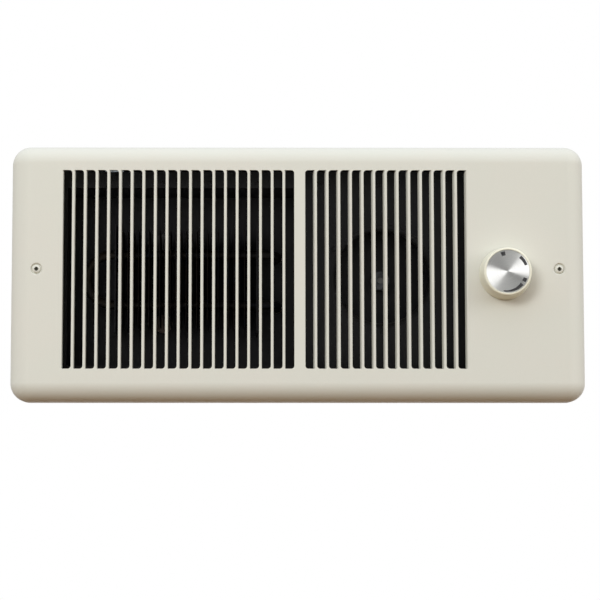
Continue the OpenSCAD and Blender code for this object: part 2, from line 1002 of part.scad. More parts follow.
// The scroll's wall, t thick on the side away from the air
module scroll_outline(t) {
    half = scroll_step / 2;
    translate([blower_x + half, -half])
        ring_quarter(scroll_r, t, 180);
    translate([blower_x + half, half])
        ring_quarter(scroll_r + scroll_step, t, 270);
    translate([blower_x - half, half])
        ring_quarter(scroll_r + 2 * scroll_step, t, 0);
    translate([outlet_x, scroll_top_z])
        square([blower_x - half - outlet_x, t]);
    translate([tongue_x, -half])
        intersection() {
            difference() {
                circle(r = tongue_r);
                circle(r = max(tongue_r - t, tongue_r / 8));
            }
            square(tongue_r + 1);
        }
    translate([outlet_x, outlet_low_z - t])
        square([tongue_x - outlet_x, t]);
}

module scroll_case() {
    color(galvanised) {
        slab(seat_y, scroll_back_y)
            scroll_outline(scroll_t);
        slab(seat_y, seat_y + scroll_t)
            difference() {
                scroll_outline(scroll_t + plate_margin);
                rivet_places()
                    circle(d = rivet_d);
            }
        slab(scroll_back_y, scroll_back_y + scroll_t)
            difference() {
                translate([outlet_x, scroll_low_z - scroll_t - plate_margin])
                    square([
                        scroll_right_x - outlet_x + scroll_t + plate_margin,
                        scroll_top_z - scroll_low_z + 2 * (scroll_t + plate_margin)
                    ]);
                translate([blower_x, 0])
                    circle(d = bearing_boss_d + 2 * front_boss_h);
                motor_screw_places()
                    circle(d = motor_screw_d + 2 * press_fit);
            }
    }
}

module motor_screw_places() {
    for (side = [-1, 1])
        translate([blower_x + side * motor_screw_x, 0])
            children();
}

// Bell mouth that leads the air into the wheel
module inlet_ring() {
    mouth_r = wheel_eye_r - inlet_inset;
    rim_r = rivet_flange_r + rivet_head_d / 2;
    color(dark_steel)
        difference() {
            translate([blower_x, seat_y, 0])
                rotate([-90, 0, 0])
                    rotate_extrude()
                        polygon(concat(
                            [[rim_r, inlet_wall], [rim_r, 0]],
                            arc(mouth_r + inlet_flare, inlet_flare, inlet_flare, 270, 180, corner_steps),
                            [[mouth_r, inlet_lip], [mouth_r + inlet_wall, inlet_lip]],
                            arc(mouth_r + inlet_flare, inlet_flare, inlet_flare - inlet_wall,
                                180, 270, corner_steps)
                        ));
            slab(seat_y - 1, seat_y + inlet_wall + 1)
                rivet_places()
                    circle(d = rivet_d);
        }
}

// One forward-curved blade, hollow side towards the turn
module blade_outline() {
    bow = blade_band * 0.68;
    half = asin((blade_band / 2 - blade_inset) / bow);
    translate([wheel_eye_r + blade_band / 2, bow * cos(half)])
        polygon(concat(
            arc(0, 0, bow + blade_t / 2, 270 - half, 270 + half, bend_steps),
            arc(0, 0, bow - blade_t / 2, 270 + half, 270 - half, bend_steps)
        ));
}

// Front ring of the wheel, round its eye
module wheel_rim() {
    color(dark_steel)
        slab(wheel_y, wheel_y + rim_t)
            translate([blower_x, 0])
                difference() {
                    circle(r = wheel_r);
                    circle(r = wheel_eye_r);
                }
}

// Blades between the front ring and the back disc
module wheel_blades() {
    color(dark_steel)
        for (i = [0 : blades - 1])
            slab(wheel_y + rim_t, wheel_back_y - disc_t)
                translate([blower_x, 0])
                    rotate(i * 360 / blades)
                        blade_outline();
}

// Back disc of the wheel, with the hole for the hub's spigot
module wheel_disc() {
    color(dark_steel)
        slab(wheel_back_y - disc_t, wheel_back_y)
            translate([blower_x, 0])
                difference() {
                    circle(r = wheel_r);
                    circle(d = hub_spigot_d + 2 * press_fit);
                }
}

// Cast hub, staked by its spigot into the wheel's back disc
module wheel_hub() {
    front_y = wheel_back_y - hub_len;
    color(cast_zinc)
        difference() {
            union() {
                rod(blower_x, 0, hub_d / 2, front_y, wheel_back_y - disc_t);
                rod(blower_x, 0, hub_spigot_d / 2, front_y, wheel_back_y);
            }
            rod(blower_x, 0, shaft_d / 2 + slide_fit, front_y - 1, wheel_back_y + 1);
            translate([blower_x, wheel_back_y - hub_len / 2, 0])
                cylinder(d = set_screw_d + 2 * press_fit, h = hub_d);
        }
}

module wheel_set_screw() {
    length = hub_d / 2 - shaft_d / 2 - set_screw_d / 6;
    color(plated)
        translate([blower_x, wheel_back_y - hub_len / 2, shaft_d / 2])
            difference() {
                cylinder(d = set_screw_d, h = length);
                translate([-set_screw_d, -set_screw_slot_w / 2, length - set_screw_slot_h])
                    cube([2 * set_screw_d, set_screw_slot_w, set_screw_slot_h + 1]);
            }
}

// ---------------------------------------------------------------- motor

module motor_shaft() {
    color(plated)
        rod(blower_x, 0, shaft_d / 2, shaft_front_y, shaft_end_y);
}

module motor_rotor() {
    color("#77787b")
        slab(stack_y - rotor_over, stack_back_y + rotor_over)
            translate([blower_x, 0])
                difference() {
                    circle(d = rotor_d);
                    circle(d = shaft_d + 2 * press_fit);
                    for (i = [0 : rotor_bars - 1])
                        rotate(i * 360 / rotor_bars)
                            translate([rotor_d / 2 - rotor_bar_inset, 0])
                                circle(d = rotor_bar_d);
                }
}

module motor_core() {
    color(iron)
        slab(stack_y, stack_back_y)
            difference() {
                translate([blower_x - pole_x, yoke_low_z])
                    square([2 * pole_x, pole_z - yoke_low_z]);
                translate([blower_x - pole_x + leg_w, yoke_low_z + yoke_h])
                    square([2 * (pole_x - leg_w), -pole_z - yoke_low_z - yoke_h]);
                translate([blower_x, 0])
                    circle(d = rotor_bore_d);
                motor_screw_places()
                    circle(d = motor_screw_d + motor_screw_play);
                for (turn = [0, 180])
                    translate([blower_x, 0])
                        rotate(turn)
                            translate([-ring_x - ring_w - ring_play, ring_z - ring_play])
                                square([
                                    ring_x + ring_w - rotor_bore_d / 2 + 2 * ring_wire,
                                    ring_wire + 2 * ring_play
                                ]);
            }
}

module shading_rings() {
    play = ring_play;
    color(copper)
        translate([blower_x, 0, 0])
            for (turn = [0, 180])
                rotate([0, turn, 0])
                    difference() {
                        block(-ring_x - ring_w, -ring_x, stack_y - ring_wire - play,
                            stack_back_y + ring_wire + play, ring_z, pole_z + ring_wire + play);
                        block(-ring_x - ring_w - 1, -ring_x + 1, stack_y - play, stack_back_y + play,
                            ring_z + ring_wire, pole_z + play);
                    }
}

// Outline round the yoke in Y and Z, with a margin all round, made a block from x0 to x1
module yoke_wrap(x0, x1, margin, r) {
    y = stack_t + 2 * margin;
    z = yoke_h + 2 * margin;
    translate([blower_x + x0, stack_y + stack_t / 2, yoke_low_z + yoke_h / 2])
        rotate([90, 0, 90])
            linear_extrude(height = x1 - x0)
                polygon(concat(
                    arc(y / 2 - r, z / 2 - r, r, 0, 90, corner_steps),
                    arc(r - y / 2, z / 2 - r, r, 90, 180, corner_steps),
                    arc(r - y / 2, r - z / 2, r, 180, 270, corner_steps),
                    arc(y / 2 - r, r - z / 2, r, 270, 360, corner_steps)
                ));
}

module motor_bobbin() {
    reach = pole_x - leg_w - bobbin_end_gap;
    play = bobbin_play;
    rim = play + bobbin_t + winding_t + winding_rim;
    color(nylon)
        difference() {
            union() {
                yoke_wrap(-reach, reach, play + bobbin_t, 1);
                yoke_wrap(-reach, -reach + flange_t, rim, 2);
                yoke_wrap(reach - flange_t, reach, rim, 2);
            }
            yoke_wrap(-reach - 1, reach + 1, play, 0.2);
        }
}

module motor_winding() {
    reach = pole_x - leg_w - bobbin_end_gap - flange_t;
    play = bobbin_play;
    color(copper)
        difference() {
            yoke_wrap(-reach, reach, play + bobbin_t + winding_t, 4);
            yoke_wrap(-reach - 1, reach + 1, play + bobbin_t, 1);
        }
}

// Bar across the core that carries one bearing
module bracket_bar(y0) {
    slab(y0, y0 + bracket_t)
        difference() {
            translate([blower_x - motor_screw_x - bracket_end, -bracket_h / 2])
                square([2 * (motor_screw_x + bracket_end), bracket_h]);
            translate([blower_x, 0])
                circle(d = bearing_d + 2 * press_fit);
            motor_screw_places()
                circle(d = motor_screw_d + motor_screw_play);
        }
}

module bracket_posts(y0, y1) {
    slab(y0, y1)
        motor_screw_places()
            difference() {
                circle(d = bracket_post_d);
                circle(d = motor_screw_d + motor_screw_play);
            }
}

module bearing_boss(y0, y1) {
    slab(y0, y1)
        translate([blower_x, 0])
            difference() {
                circle(d = bearing_boss_d);
                circle(d = bearing_d + 2 * press_fit);
            }
}

module motor_front_bracket() {
    color(plated) {
        bracket_bar(motor_y);
        bracket_posts(motor_y + bracket_t, stack_y);
        bearing_boss(motor_y - front_boss_h, motor_y);
    }
}

module motor_rear_bracket() {
    color(plated) {
        bracket_bar(rear_bracket_y);
        bracket_posts(stack_back_y, rear_bracket_y);
        bearing_boss(rear_bracket_y + bracket_t, rear_bracket_y + bracket_t + bearing_boss_h);
    }
}

module motor_bearings() {
    color(brass)
        for (span = [
            [motor_y - front_boss_h, motor_y + bracket_t],
            [rear_bracket_y, rear_bracket_y + bracket_t + bearing_boss_h]
        ])
            slab(span[0], span[1])
                translate([blower_x, 0])
                    difference() {
                        circle(d = bearing_d);
                        circle(d = shaft_d + 2 * slide_fit);
                    }
}

module motor_screws() {
    seat = rear_bracket_y + bracket_t;
    color(plated)
        for (side = [-1, 1])
            translate([blower_x + side * motor_screw_x, seat, 0])
                mirror([0, 1, 0])
                    pan_screw(motor_head_d, motor_head_h, motor_screw_d,
                        seat - scroll_back_y + scroll_t, motor_screw_d);
}

// Rubber bushes that hold the motor off the scroll
module motor_grommets() {
    color(black)
        slab(scroll_back_y + scroll_t, motor_y)
            motor_screw_places()
                difference() {
                    circle(d = grommet_d);
                    circle(d = motor_screw_d + motor_screw_play);
                }
}

// ---------------------------------------------------------------- element

module element_sheath() {
    leg_x = run_right_x + elbow_r;
    color("#3b3834") {
        above_and_below() {
            translate([run_left_x, element_y, run_z])
                rotate([0, 90, 0])
                    cylinder(d = sheath_d, h = run_right_x - run_left_x);
            translate([run_right_x, element_y + elbow_r, run_z])
                rotate([0, 0, -90])
                    rotate_extrude(angle = 90)
                        translate([elbow_r, 0])
                            circle(d = sheath_d);
            rod(leg_x, run_z, sheath_d / 2, element_y + elbow_r, sheath_end_y);
        }
        translate([run_left_x, element_y, 0])
            rotate([90, 0, 0])
                rotate([0, 0, 90])
                    rotate_extrude(angle = 180)
                        translate([bend_r, 0])
                            circle(d = sheath_d);
    }
}

// A plate square to X, with a hole for each run of the sheath
module run_plate(x, t, y0, y1, half_h) {
    difference() {
        block(x, x + t, y0, y1, -half_h, half_h);
        for (side = [-1, 1])
            translate([x - 1, element_y, side * run_z])
                rotate([0, 90, 0])
                    cylinder(d = sheath_d + 2 * press_fit, h = t + 2);
    }
}

module element_fins() {
    first = (run_left_x + run_right_x - (fin_count - 1) * fin_pitch - fin_t) / 2;
    color("#33312e")
        for (i = [0 : fin_count - 1])
            run_plate(first + i * fin_pitch, fin_t, element_y - fin_w / 2, element_y + fin_w / 2, fin_h / 2);
}

module element_brackets() {
    foot = element_foot_w;
    half_h = fin_h / 2 + element_bracket_over;
    t = element_bracket_t;
    left = run_left_x + element_bracket_x;
    right = run_right_x - element_bracket_x - t;
    color(dark_steel) {
        run_plate(left, t, element_y - fin_w / 2, plenum_back_y, half_h);
        block(left - foot, left, plenum_back_y - t, plenum_back_y, -half_h, half_h);
        run_plate(right, t, element_y - fin_w / 2, plenum_back_y, half_h);
        block(right - foot, right, plenum_back_y - t, plenum_back_y, -half_h, half_h);
    }
}

// Ceramic collars on the sheath's ends, behind the plenum
module element_bushings() {
    seat = plenum_back_y + chassis_t;
    color(ceramic)
        for (side = [-1, 1])
            translate([run_right_x + elbow_r, seat, side * run_z])
                rotate([-90, 0, 0])
                    rotate_extrude()
                        polygon([
                            [sheath_d / 2 + slide_fit, 0],
                            [bushing_d / 2 + bushing_rim, 0],
                            [bushing_d / 2 + bushing_rim, bushing_rim_t],
                            [bushing_d / 2, bushing_rim_t + bushing_rim],
                            [bushing_d / 2, bushing_len],
                            [pin_d / 2 + slide_fit, bushing_len],
                            [pin_d / 2 + slide_fit, sheath_end_y - seat],
                            [sheath_d / 2 + slide_fit, sheath_end_y - seat]
                        ]);
}

module element_pins() {
    color(plated)
        for (side = [-1, 1])
            rod(run_right_x + elbow_r, side * run_z, pin_d / 2, sheath_end_y, sheath_end_y + pin_len);
}

// Disc snap switch: cap through the plenum's back, ears flat on it, two spade terminals behind
module snap_switch(z) {
    seat = plenum_back_y + chassis_t;
    translate([switch_x, 0, z]) {
        rod(0, 0, switch_d / 2, seat - switch_cap, seat + switch_h);
        slab(seat, seat + switch_flange_t)
            difference() {
                square([switch_flange_w, switch_flange_h], center = true);
                for (side = [-1, 1])
                    translate([side * switch_hole_x, 0])
                        circle(d = switch_screw_d + motor_screw_play);
            }
        for (side = [-1, 1])
            translate([side * switch_spade_x, 0, 0])
                block(-spade_t / 2, spade_t / 2, seat + switch_h, seat + switch_h + spade_len,
                    -spade_w / 2, spade_w / 2);
    }
}

module high_limit_switch() {
    color("#20201f")
        snap_switch(switch_z);
}

module fan_delay_switch() {
    color("#4a3a2c")
        snap_switch(-switch_z);
}

module switch_screws() {
    color(plated)
        for (z = [-switch_z, switch_z], side = [-1, 1])
            translate([switch_x + side * switch_hole_x, plenum_back_y + chassis_t + switch_flange_t, z])
                mirror([0, 1, 0])
                    pan_screw(switch_head_d, switch_head_h, switch_screw_d,
                        switch_flange_t + chassis_t + switch_screw_over, switch_recess_d);
}

// Holes in the plenum's back for the switches, their screws and the sheath's ends
module plenum_back() {
    slab(plenum_back_y, plenum_back_y + chassis_t)
        difference() {
            translate([plenum_left_x, -plenum_z])
                square([outlet_x - plenum_left_x, 2 * plenum_z]);
            for (z = [-switch_z, switch_z])
                translate([switch_x, z]) {
                    circle(d = switch_d + 2 * loose_fit);
                    for (side = [-1, 1])
                        translate([side * switch_hole_x, 0])
                            circle(d = switch_screw_d + 2 * press_fit);
                }
            for (z = [-run_z, run_z])
                translate([run_right_x + elbow_r, z])
                    circle(d = sheath_d + 2 * loose_fit);
        }
}

// ---------------------------------------------------------------- thermostat

module thermostat_body() {
    back = seat_y + thermostat_len;
    rim_y = seat_y + thermostat_plate_t;
    half_w = thermostat_w / 2;
    half_h = thermostat_h / 2;
    rim = thermostat_rim;
    color("#242220")
        difference() {
            union() {
                block(knob_x - half_w, knob_x + half_w, rim_y, back, knob_z - half_h, knob_z + half_h);
                block(knob_x - half_w - rim, knob_x + half_w + rim, seat_y, rim_y,
                    knob_z - half_h - rim, knob_z + half_h + rim);
            }
            rod(knob_x, knob_z, stem_d / 2 + slide_fit, seat_y - 1, seat_y + stem_socket + loose_fit);
        }
}

module thermostat_bushing() {
    color(brass)
        slab(bushing_front_y, seat_y)
            translate([knob_x, knob_z])
                difference() {
                    circle(d = bushing_thread_d);
                    circle(d = stem_d + 2 * slide_fit);
                }
}

module thermostat_nut() {
    color(plated)
        slab(deck_y - nut_t, deck_y)
            translate([knob_x, knob_z])
                difference() {
                    circle(d = nut_w / cos(30), $fn = 6);
                    circle(d = bushing_thread_d + 2 * slide_fit);
                }
}

module thermostat_shaft() {
    color(plated) {
        slab(hub_bore_y, stem_round_y)
            translate([knob_x, knob_z])
                stem_outline(stem_d / 2, stem_flat);
        rod(knob_x, knob_z, stem_d / 2, stem_round_y, seat_y + stem_socket);
    }
}

module thermostat_terminals() {
    back = seat_y + thermostat_len;
    color(brass)
        for (side = [-1, 1])
            translate([knob_x + side * thermostat_spade_x, 0, knob_z - thermostat_spade_drop])
                block(-spade_w / 2, spade_w / 2, back, back + spade_len, -spade_t / 2, spade_t / 2);
}

// ---------------------------------------------------------------- leads

function unit(v) = v / norm(v);

// Smooth curve through points, with n steps between two of them
function curve(p, n) =
    let (last = len(p) - 1)
    concat(
        [for (i = [0 : last - 1], j = [0 : n - 1])
            let (
                a = i == 0 ? 2 * p[0] - p[1] : p[i - 1],
                b = p[i],
                c = p[i + 1],
                d = i == last - 1 ? 2 * p[last] - p[last - 1] : p[i + 2],
                t = j / n
            )
            0.5 * (2 * b + (c - a) * t + (2 * a - 5 * b + 4 * c - d) * t * t
                + (3 * b - a - 3 * c + d) * t * t * t)],
        [p[last]]
    );

// Direction of a curve at each of its points; the ends follow the route's own ends
function along(c, route) =
    let (last = len(c) - 1, stop = len(route) - 1)
    [for (i = [0 : last])
        i == 0 ? unit(route[1] - route[0])
        : i == last ? unit(route[stop] - route[stop - 1])
        : unit(c[i + 1] - c[i - 1])];

function square_to(v, t) = unit(v - (v * t) * t);

// A side direction carried along the curve without twist
function sides_of(t, first) =
    [for (i = 0, v = square_to(first, t[0]); i < len(t);
        i = i + 1, v = i < len(t) ? square_to(v, t[i]) : v) v];

module lead(route, first = [1, 1, 1]) {
    c = curve(route, 3);
    t = along(c, route);
    u = sides_of(t, first);
    n = lead_sides;
    rings = len(c);
    points = [for (i = [0 : rings - 1], k = [0 : n - 1])
        let (a = 360 * k / n)
        c[i] + lead_r * (cos(a) * u[i] + sin(a) * cross(t[i], u[i]))];
    walls = [for (i = [0 : rings - 2], k = [0 : n - 1], half = [0, 1])
        let (a = i * n + k, b = i * n + (k + 1) % n)
        half == 0 ? [a, a + n, b] : [b, a + n, b + n]];
    polyhedron(
        points = points,
        faces = concat([[for (k = [0 : n - 1]) k]], walls,
            [[for (k = [0 : n - 1]) (rings - 1) * n + n - 1 - k]])
    );
}

module thermostat_lead() {
    start_y = seat_y + thermostat_len + spade_len;
    end_z = block_z + block_h / 2;
    color("#8e2a24")
        lead([
            [knob_x - thermostat_spade_x, start_y, knob_z - thermostat_spade_drop],
            [knob_x - thermostat_spade_x, start_y + 5, knob_z - thermostat_spade_drop],
            [knob_x - 9, start_y + 12, knob_z - 12],
            [block_place(0) + 2, lead_block_y - 4, end_z + 22],
            [block_place(0), lead_block_y, end_z + 9],
            [block_place(0), lead_block_y, end_z]
        ]);
}

module motor_lead() {
    start_z = yoke_low_z - bobbin_play - bobbin_t - winding_t;
    end_z = block_z - block_h / 2;
    y = stack_y + stack_t / 2;
    color("#2a2a2c")
        lead([
            [blower_x + 6, y, start_z],
            [blower_x + 6, y, start_z - 5],
            [blower_x + 14, y + 1, lead_low_z + 12],
            [blower_x + 40, y + 2, lead_low_z + 9],
            [block_place(1) - 28, lead_block_y - 8, lead_low_z + 9],
            [block_place(1) - 6, lead_block_y - 6, end_z - 14],
            [block_place(1), lead_block_y, end_z - 5],
            [block_place(1), lead_block_y, end_z]
        ]);
}

// From the thermostat, under the blower, to the high limit switch
module element_lead() {
    start_y = seat_y + thermostat_len + spade_len;
    end_y = plenum_back_y + chassis_t + switch_h + spade_len;
    color("#8e2a24")
        lead([
            [knob_x + thermostat_spade_x, start_y, knob_z - thermostat_spade_drop],
            [knob_x + thermostat_spade_x, start_y + 5, knob_z - thermostat_spade_drop],
            [knob_x + 6, start_y + 14, knob_z - 18],
            [divider_x + 12, start_y + 12, -deck_z + 20],
            [divider_x - 10, start_y + 10, lead_low_z - 1],
            [blower_x, start_y + 10, lead_low_z - 1],
            [outlet_x, lead_back_y - 10, lead_low_z],
            [switch_x + 20, lead_back_y - 8, lead_low_z],
            [switch_x - 22, lead_back_y - 4, lead_low_z + 14],
            [switch_x - 24, lead_back_y, 0],
            [switch_x - 12, lead_back_y, switch_z - 4],
            [switch_x - switch_spade_x, end_y + 5, switch_z],
            [switch_x - switch_spade_x, end_y, switch_z]
        ]);
}

// From the element's lower pin back to the terminal block
module return_lead() {
    start_y = sheath_end_y + pin_len;
    end_z = block_z - block_h / 2;
    pin_x = run_right_x + elbow_r;
    color("#2a2a2c")
        lead([
            [pin_x, start_y, -run_z],
            [pin_x, start_y + 2, -run_z],
            [pin_x, start_y + 5, -run_z - 4],
            [pin_x + 1, lead_back_y + 1, -run_z - 14],
            [pin_x + 8, lead_back_y + 1, lead_low_z + 14],
            [pin_x + 30, lead_back_y + 1, lead_low_z + 5],
            [blower_x + 30, lead_back_y + 1, lead_low_z + 3],
            [block_place(2) - 30, lead_back_y, lead_low_z - 1],
            [block_place(2) - 5, lead_block_y + 2, end_z - 15],
            [block_place(2), lead_block_y, end_z - 5],
            [block_place(2), lead_block_y, end_z]
        ]);
}

// ---------------------------------------------------------------- nodes

front_cover();
cover_screws();
knob();
knob_insert();
knob_pointer();
knob_clip();
wall_box();
box_ends();
cover_posts();
ground_screw();
terminal_block();
terminal_screws();
heater_deck();
heater_plenum();
chassis_screws();
wiring_divider();
deck_rivets();
scroll_case();
inlet_ring();
wheel_rim();
wheel_blades();
wheel_disc();
wheel_hub();
wheel_set_screw();
motor_shaft();
motor_rotor();
motor_core();
shading_rings();
motor_bobbin();
motor_winding();
motor_front_bracket();
motor_rear_bracket();
motor_bearings();
motor_screws();
motor_grommets();
element_sheath();
element_fins();
element_brackets();
element_bushings();
element_pins();
high_limit_switch();
fan_delay_switch();
switch_screws();
thermostat_body();
thermostat_bushing();
thermostat_nut();
thermostat_shaft();
thermostat_terminals();
thermostat_lead();
motor_lead();
element_lead();
return_lead();
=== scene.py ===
"""Recessed wall fan heater: its finishes, and the sheet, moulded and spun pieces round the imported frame.

The classes hold their sizes in millimetres, and a mesh is made metres as its piece is built. +X is right,
+Z up and -Y towards the room, with the origin on the wall.
"""
import json
import logging
import math
from collections.abc import Callable, Iterable, Sequence
from dataclasses import dataclass
from enum import Enum

import bmesh
import bpy
from bmesh.types import BMEdge, BMesh, BMFace, BMVert
from bpy.types import ID, Material, Node, NodeSocket, NodeTree, Object
from mathutils import Matrix, Vector


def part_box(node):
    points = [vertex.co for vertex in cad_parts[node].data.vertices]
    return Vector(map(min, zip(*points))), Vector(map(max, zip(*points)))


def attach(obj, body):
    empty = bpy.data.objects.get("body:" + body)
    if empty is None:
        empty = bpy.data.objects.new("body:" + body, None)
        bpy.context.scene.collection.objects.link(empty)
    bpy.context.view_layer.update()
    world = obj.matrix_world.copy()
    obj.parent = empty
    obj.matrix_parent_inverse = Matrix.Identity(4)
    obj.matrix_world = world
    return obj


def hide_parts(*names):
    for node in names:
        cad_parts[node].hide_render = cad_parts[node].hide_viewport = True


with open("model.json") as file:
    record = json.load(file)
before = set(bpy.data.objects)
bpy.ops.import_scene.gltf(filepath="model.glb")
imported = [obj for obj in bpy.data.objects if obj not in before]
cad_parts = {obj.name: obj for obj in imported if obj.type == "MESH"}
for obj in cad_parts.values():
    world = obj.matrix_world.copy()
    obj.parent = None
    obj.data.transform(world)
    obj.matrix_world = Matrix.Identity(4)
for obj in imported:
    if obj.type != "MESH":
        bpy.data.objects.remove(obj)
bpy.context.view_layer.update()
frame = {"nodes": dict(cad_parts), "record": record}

log = logging.getLogger("wall_heater")

MM = 0.001
Colour = tuple[float, float, float]
Triple = tuple[float, float, float]
Pair = tuple[float, float]


class Axis(Enum):
    """Directions that pieces of the heater face."""

    ROOM = Vector((0.0, -1.0, 0.0))
    WALL = Vector((0.0, 1.0, 0.0))
    RIGHT = Vector((1.0, 0.0, 0.0))
    UP = Vector((0.0, 0.0, 1.0))


class Body(Enum):
    """Bodies of the frame that the new pieces ride on."""

    HOUSING = "root"
    KNOB = "knob"


# ------------------------------------------------------------------ node graphs


def srgb(red: int, green: int, blue: int) -> Colour:
    """Turns a colour written as 0 to 255 into linear light.

    Args:
        red: Red, as a display shows it.
        green: Green.
        blue: Blue.

    Returns:
        The colour's three linear values.
    """
    parts = (part / 255.0 for part in (red, green, blue))
    return tuple(p / 12.92 if p <= 0.04045 else ((p + 0.055) / 1.055) ** 2.4 for p in parts)


def per_mm(size: float) -> float:
    """Returns the texture scale whose features have a size in millimetres."""
    return 1.0 / (size * MM)


def share_of(colour: Colour, share: float) -> Colour:
    """Returns a colour with only a share of its light."""
    return tuple(part * share for part in colour)


class Graph:
    """Adds nodes to one node tree, and sets or links their inputs in the same call."""

    def __init__(self, tree: NodeTree) -> None:
        """Takes the tree to work in."""
        self.tree = tree

    def add(self, kind: str, settings: dict | None = None, inputs: dict | None = None) -> Node:
        """Adds one node.

        Args:
            kind: Type of the node, without its "ShaderNode".
            settings: The node's own properties.
            inputs: Values or output sockets for its inputs, by name or number.

        Returns:
            The new node.
        """
        node = self.tree.nodes.new("ShaderNode" + kind)
        for name, value in (settings or {}).items():
            setattr(node, name, value)
        self.feed_all(node, inputs or {})
        return node

    def feed_all(self, node: Node, values: dict) -> None:
        """Feeds several inputs of a node, by name or number."""
        for name, value in values.items():
            self.feed(node.inputs[name], value)

    def feed(self, socket: NodeSocket, value: object) -> None:
        """Links a socket to another one, or gives it a constant.

        Args:
            socket: The input.
            value: An output socket, a number or a colour.
        """
        if isinstance(value, NodeSocket):
            self.tree.links.new(value, socket)
        elif socket.type == "RGBA" and len(value) == 3:
            socket.default_value = (*value, 1.0)
        else:
            socket.default_value = value

    def maths(self, operation: str, first: object, second: object = 0.0, third: object = 0.0) -> object:
        """Returns the output of a Math node."""
        node = self.add("Math", {"operation": operation}, {0: first, 1: second, 2: third})
        return node.outputs[0]

    def remap(self, value: object, low: float, high: float, to_low: object = 0.0,
              to_high: object = 1.0) -> object:
        """Returns a value carried from one range to another and held inside it.

        Args:
            value: The socket to read.
            low: Start of its range.
            high: End of its range.
            to_low: Result at the start.
            to_high: Result at the end.

        Returns:
            The output socket.
        """
        node = self.add("MapRange", {"interpolation_type": "SMOOTHSTEP"}, {
            "Value": value, "From Min": low, "From Max": high, "To Min": to_low, "To Max": to_high})
        return node.outputs["Result"]

    def mix(self, factor: object, first: object, second: object) -> object:
        """Returns two colours mixed by a factor."""
        node = self.add("Mix", {"data_type": "RGBA"}, {0: factor, 6: first, 7: second})
        return node.outputs[2]

    def noise(self, vector: object, size_mm: object, detail: float = 2.0, roughness: float = 0.5) -> object:
        """Returns noise whose features are about as large as asked.

        Args:
            vector: Coordinates, in metres.
            size_mm: Size of a feature, or a socket that holds its scale.
            detail: Octaves.
            roughness: How strong the finer octaves are.

        Returns:
            The noise, about 0.5 on average.
        """
        scale = per_mm(size_mm) if isinstance(size_mm, (int, float)) else size_mm
        node = self.add("TexNoise", None, {
            "Vector": vector, "Scale": scale, "Detail": detail, "Roughness": roughness})
        return node.outputs["Fac"]

    def stretch(self, vector: object, scale: Sequence[float]) -> object:
        """Returns coordinates stretched by a Mapping node."""
        return self.add("Mapping", None, {"Vector": vector, "Scale": scale}).outputs["Vector"]


class Effect(Enum):
    """Surface effects that more than one finish can use."""

    PEEL = "powder peel"
    DRIFT = "colour drift"
    DUST = "settled dust"
    BRUSH = "fine drawn lines"
    SPANGLE = "zinc spangle"
    ARC = "printed arc"


class GroupMaker:
    """Builds each shared effect once and places it in the materials that ask for it."""

    def __init__(self) -> None:
        """Starts with no group built."""
        self.built: dict[Effect, NodeTree] = {}

    def place(self, graph: Graph, effect: Effect, inputs: dict) -> Node:
        """Places an effect in a material.

        Args:
            graph: The material's graph.
            effect: Which effect.
            inputs: Values or sockets for the effect's inputs.

        Returns:
            The group node.
        """
        if effect not in self.built:
            self.built[effect] = EFFECT_MAKERS[effect](effect.value)
        return graph.add("Group", {"node_tree": self.built[effect]}, inputs)


def group_tree(name: str, inputs: dict[str, str],
               outputs: dict[str, str]) -> tuple[Graph, dict, Node]:
    """Starts a node group.

    Args:
        name: The group's name.
        inputs: Name and socket type of each input.
        outputs: Name and socket type of each output.

    Returns:
        Its graph, the input sockets by name, and the node that takes its outputs.
    """
    tree = bpy.data.node_groups.new(name, "ShaderNodeTree")
    for way, sockets in (("INPUT", inputs), ("OUTPUT", outputs)):
        for label, kind in sockets.items():
            tree.interface.new_socket(name=label, in_out=way, socket_type="NodeSocket" + kind)
    entry = tree.nodes.new("NodeGroupInput")
    leave = tree.nodes.new("NodeGroupOutput")
    return Graph(tree), {s.name: s for s in entry.outputs if s.name}, leave


def make_peel(name: str) -> NodeTree:
    """Builds the skin of a sprayed or powder coat: long ripples with fine grit on them.

    Args:
        name: The group's name.

    Returns:
        The group.
    """
    graph, given, leave = group_tree(
        name, {"Vector": "Vector", "Ripple Scale": "Float", "Grit Scale": "Float", "Grit Share": "Float"},
        {"Height": "Float", "Speck": "Float"})
    ripple = graph.noise(given["Vector"], given["Ripple Scale"], detail=1.0)
    grit = graph.noise(given["Vector"], given["Grit Scale"], roughness=0.6)
    graph.feed_all(leave, {
        "Height": graph.maths("MULTIPLY_ADD", grit, given["Grit Share"], ripple),
        "Speck": graph.remap(grit, low=0.35, high=0.7)})
    return graph.tree


def make_drift(name: str) -> NodeTree:
    """Builds a slow drift of colour over a surface, with a little fine variation.

    Args:
        name: The group's name.

    Returns:
        The group.
    """
    graph, given, leave = group_tree(
        name, {"Vector": "Vector", "Color": "Color", "Tint": "Color", "Scale": "Float", "Amount": "Float"},
        {"Color": "Color", "Mask": "Float"})
    noise = graph.noise(given["Vector"], given["Scale"], detail=4.0, roughness=0.55)
    cloud = graph.remap(noise, low=0.3, high=0.72)
    share = graph.maths("MULTIPLY", cloud, given["Amount"])
    graph.feed_all(leave, {"Color": graph.mix(share, given["Color"], given["Tint"]), "Mask": cloud})
    return graph.tree


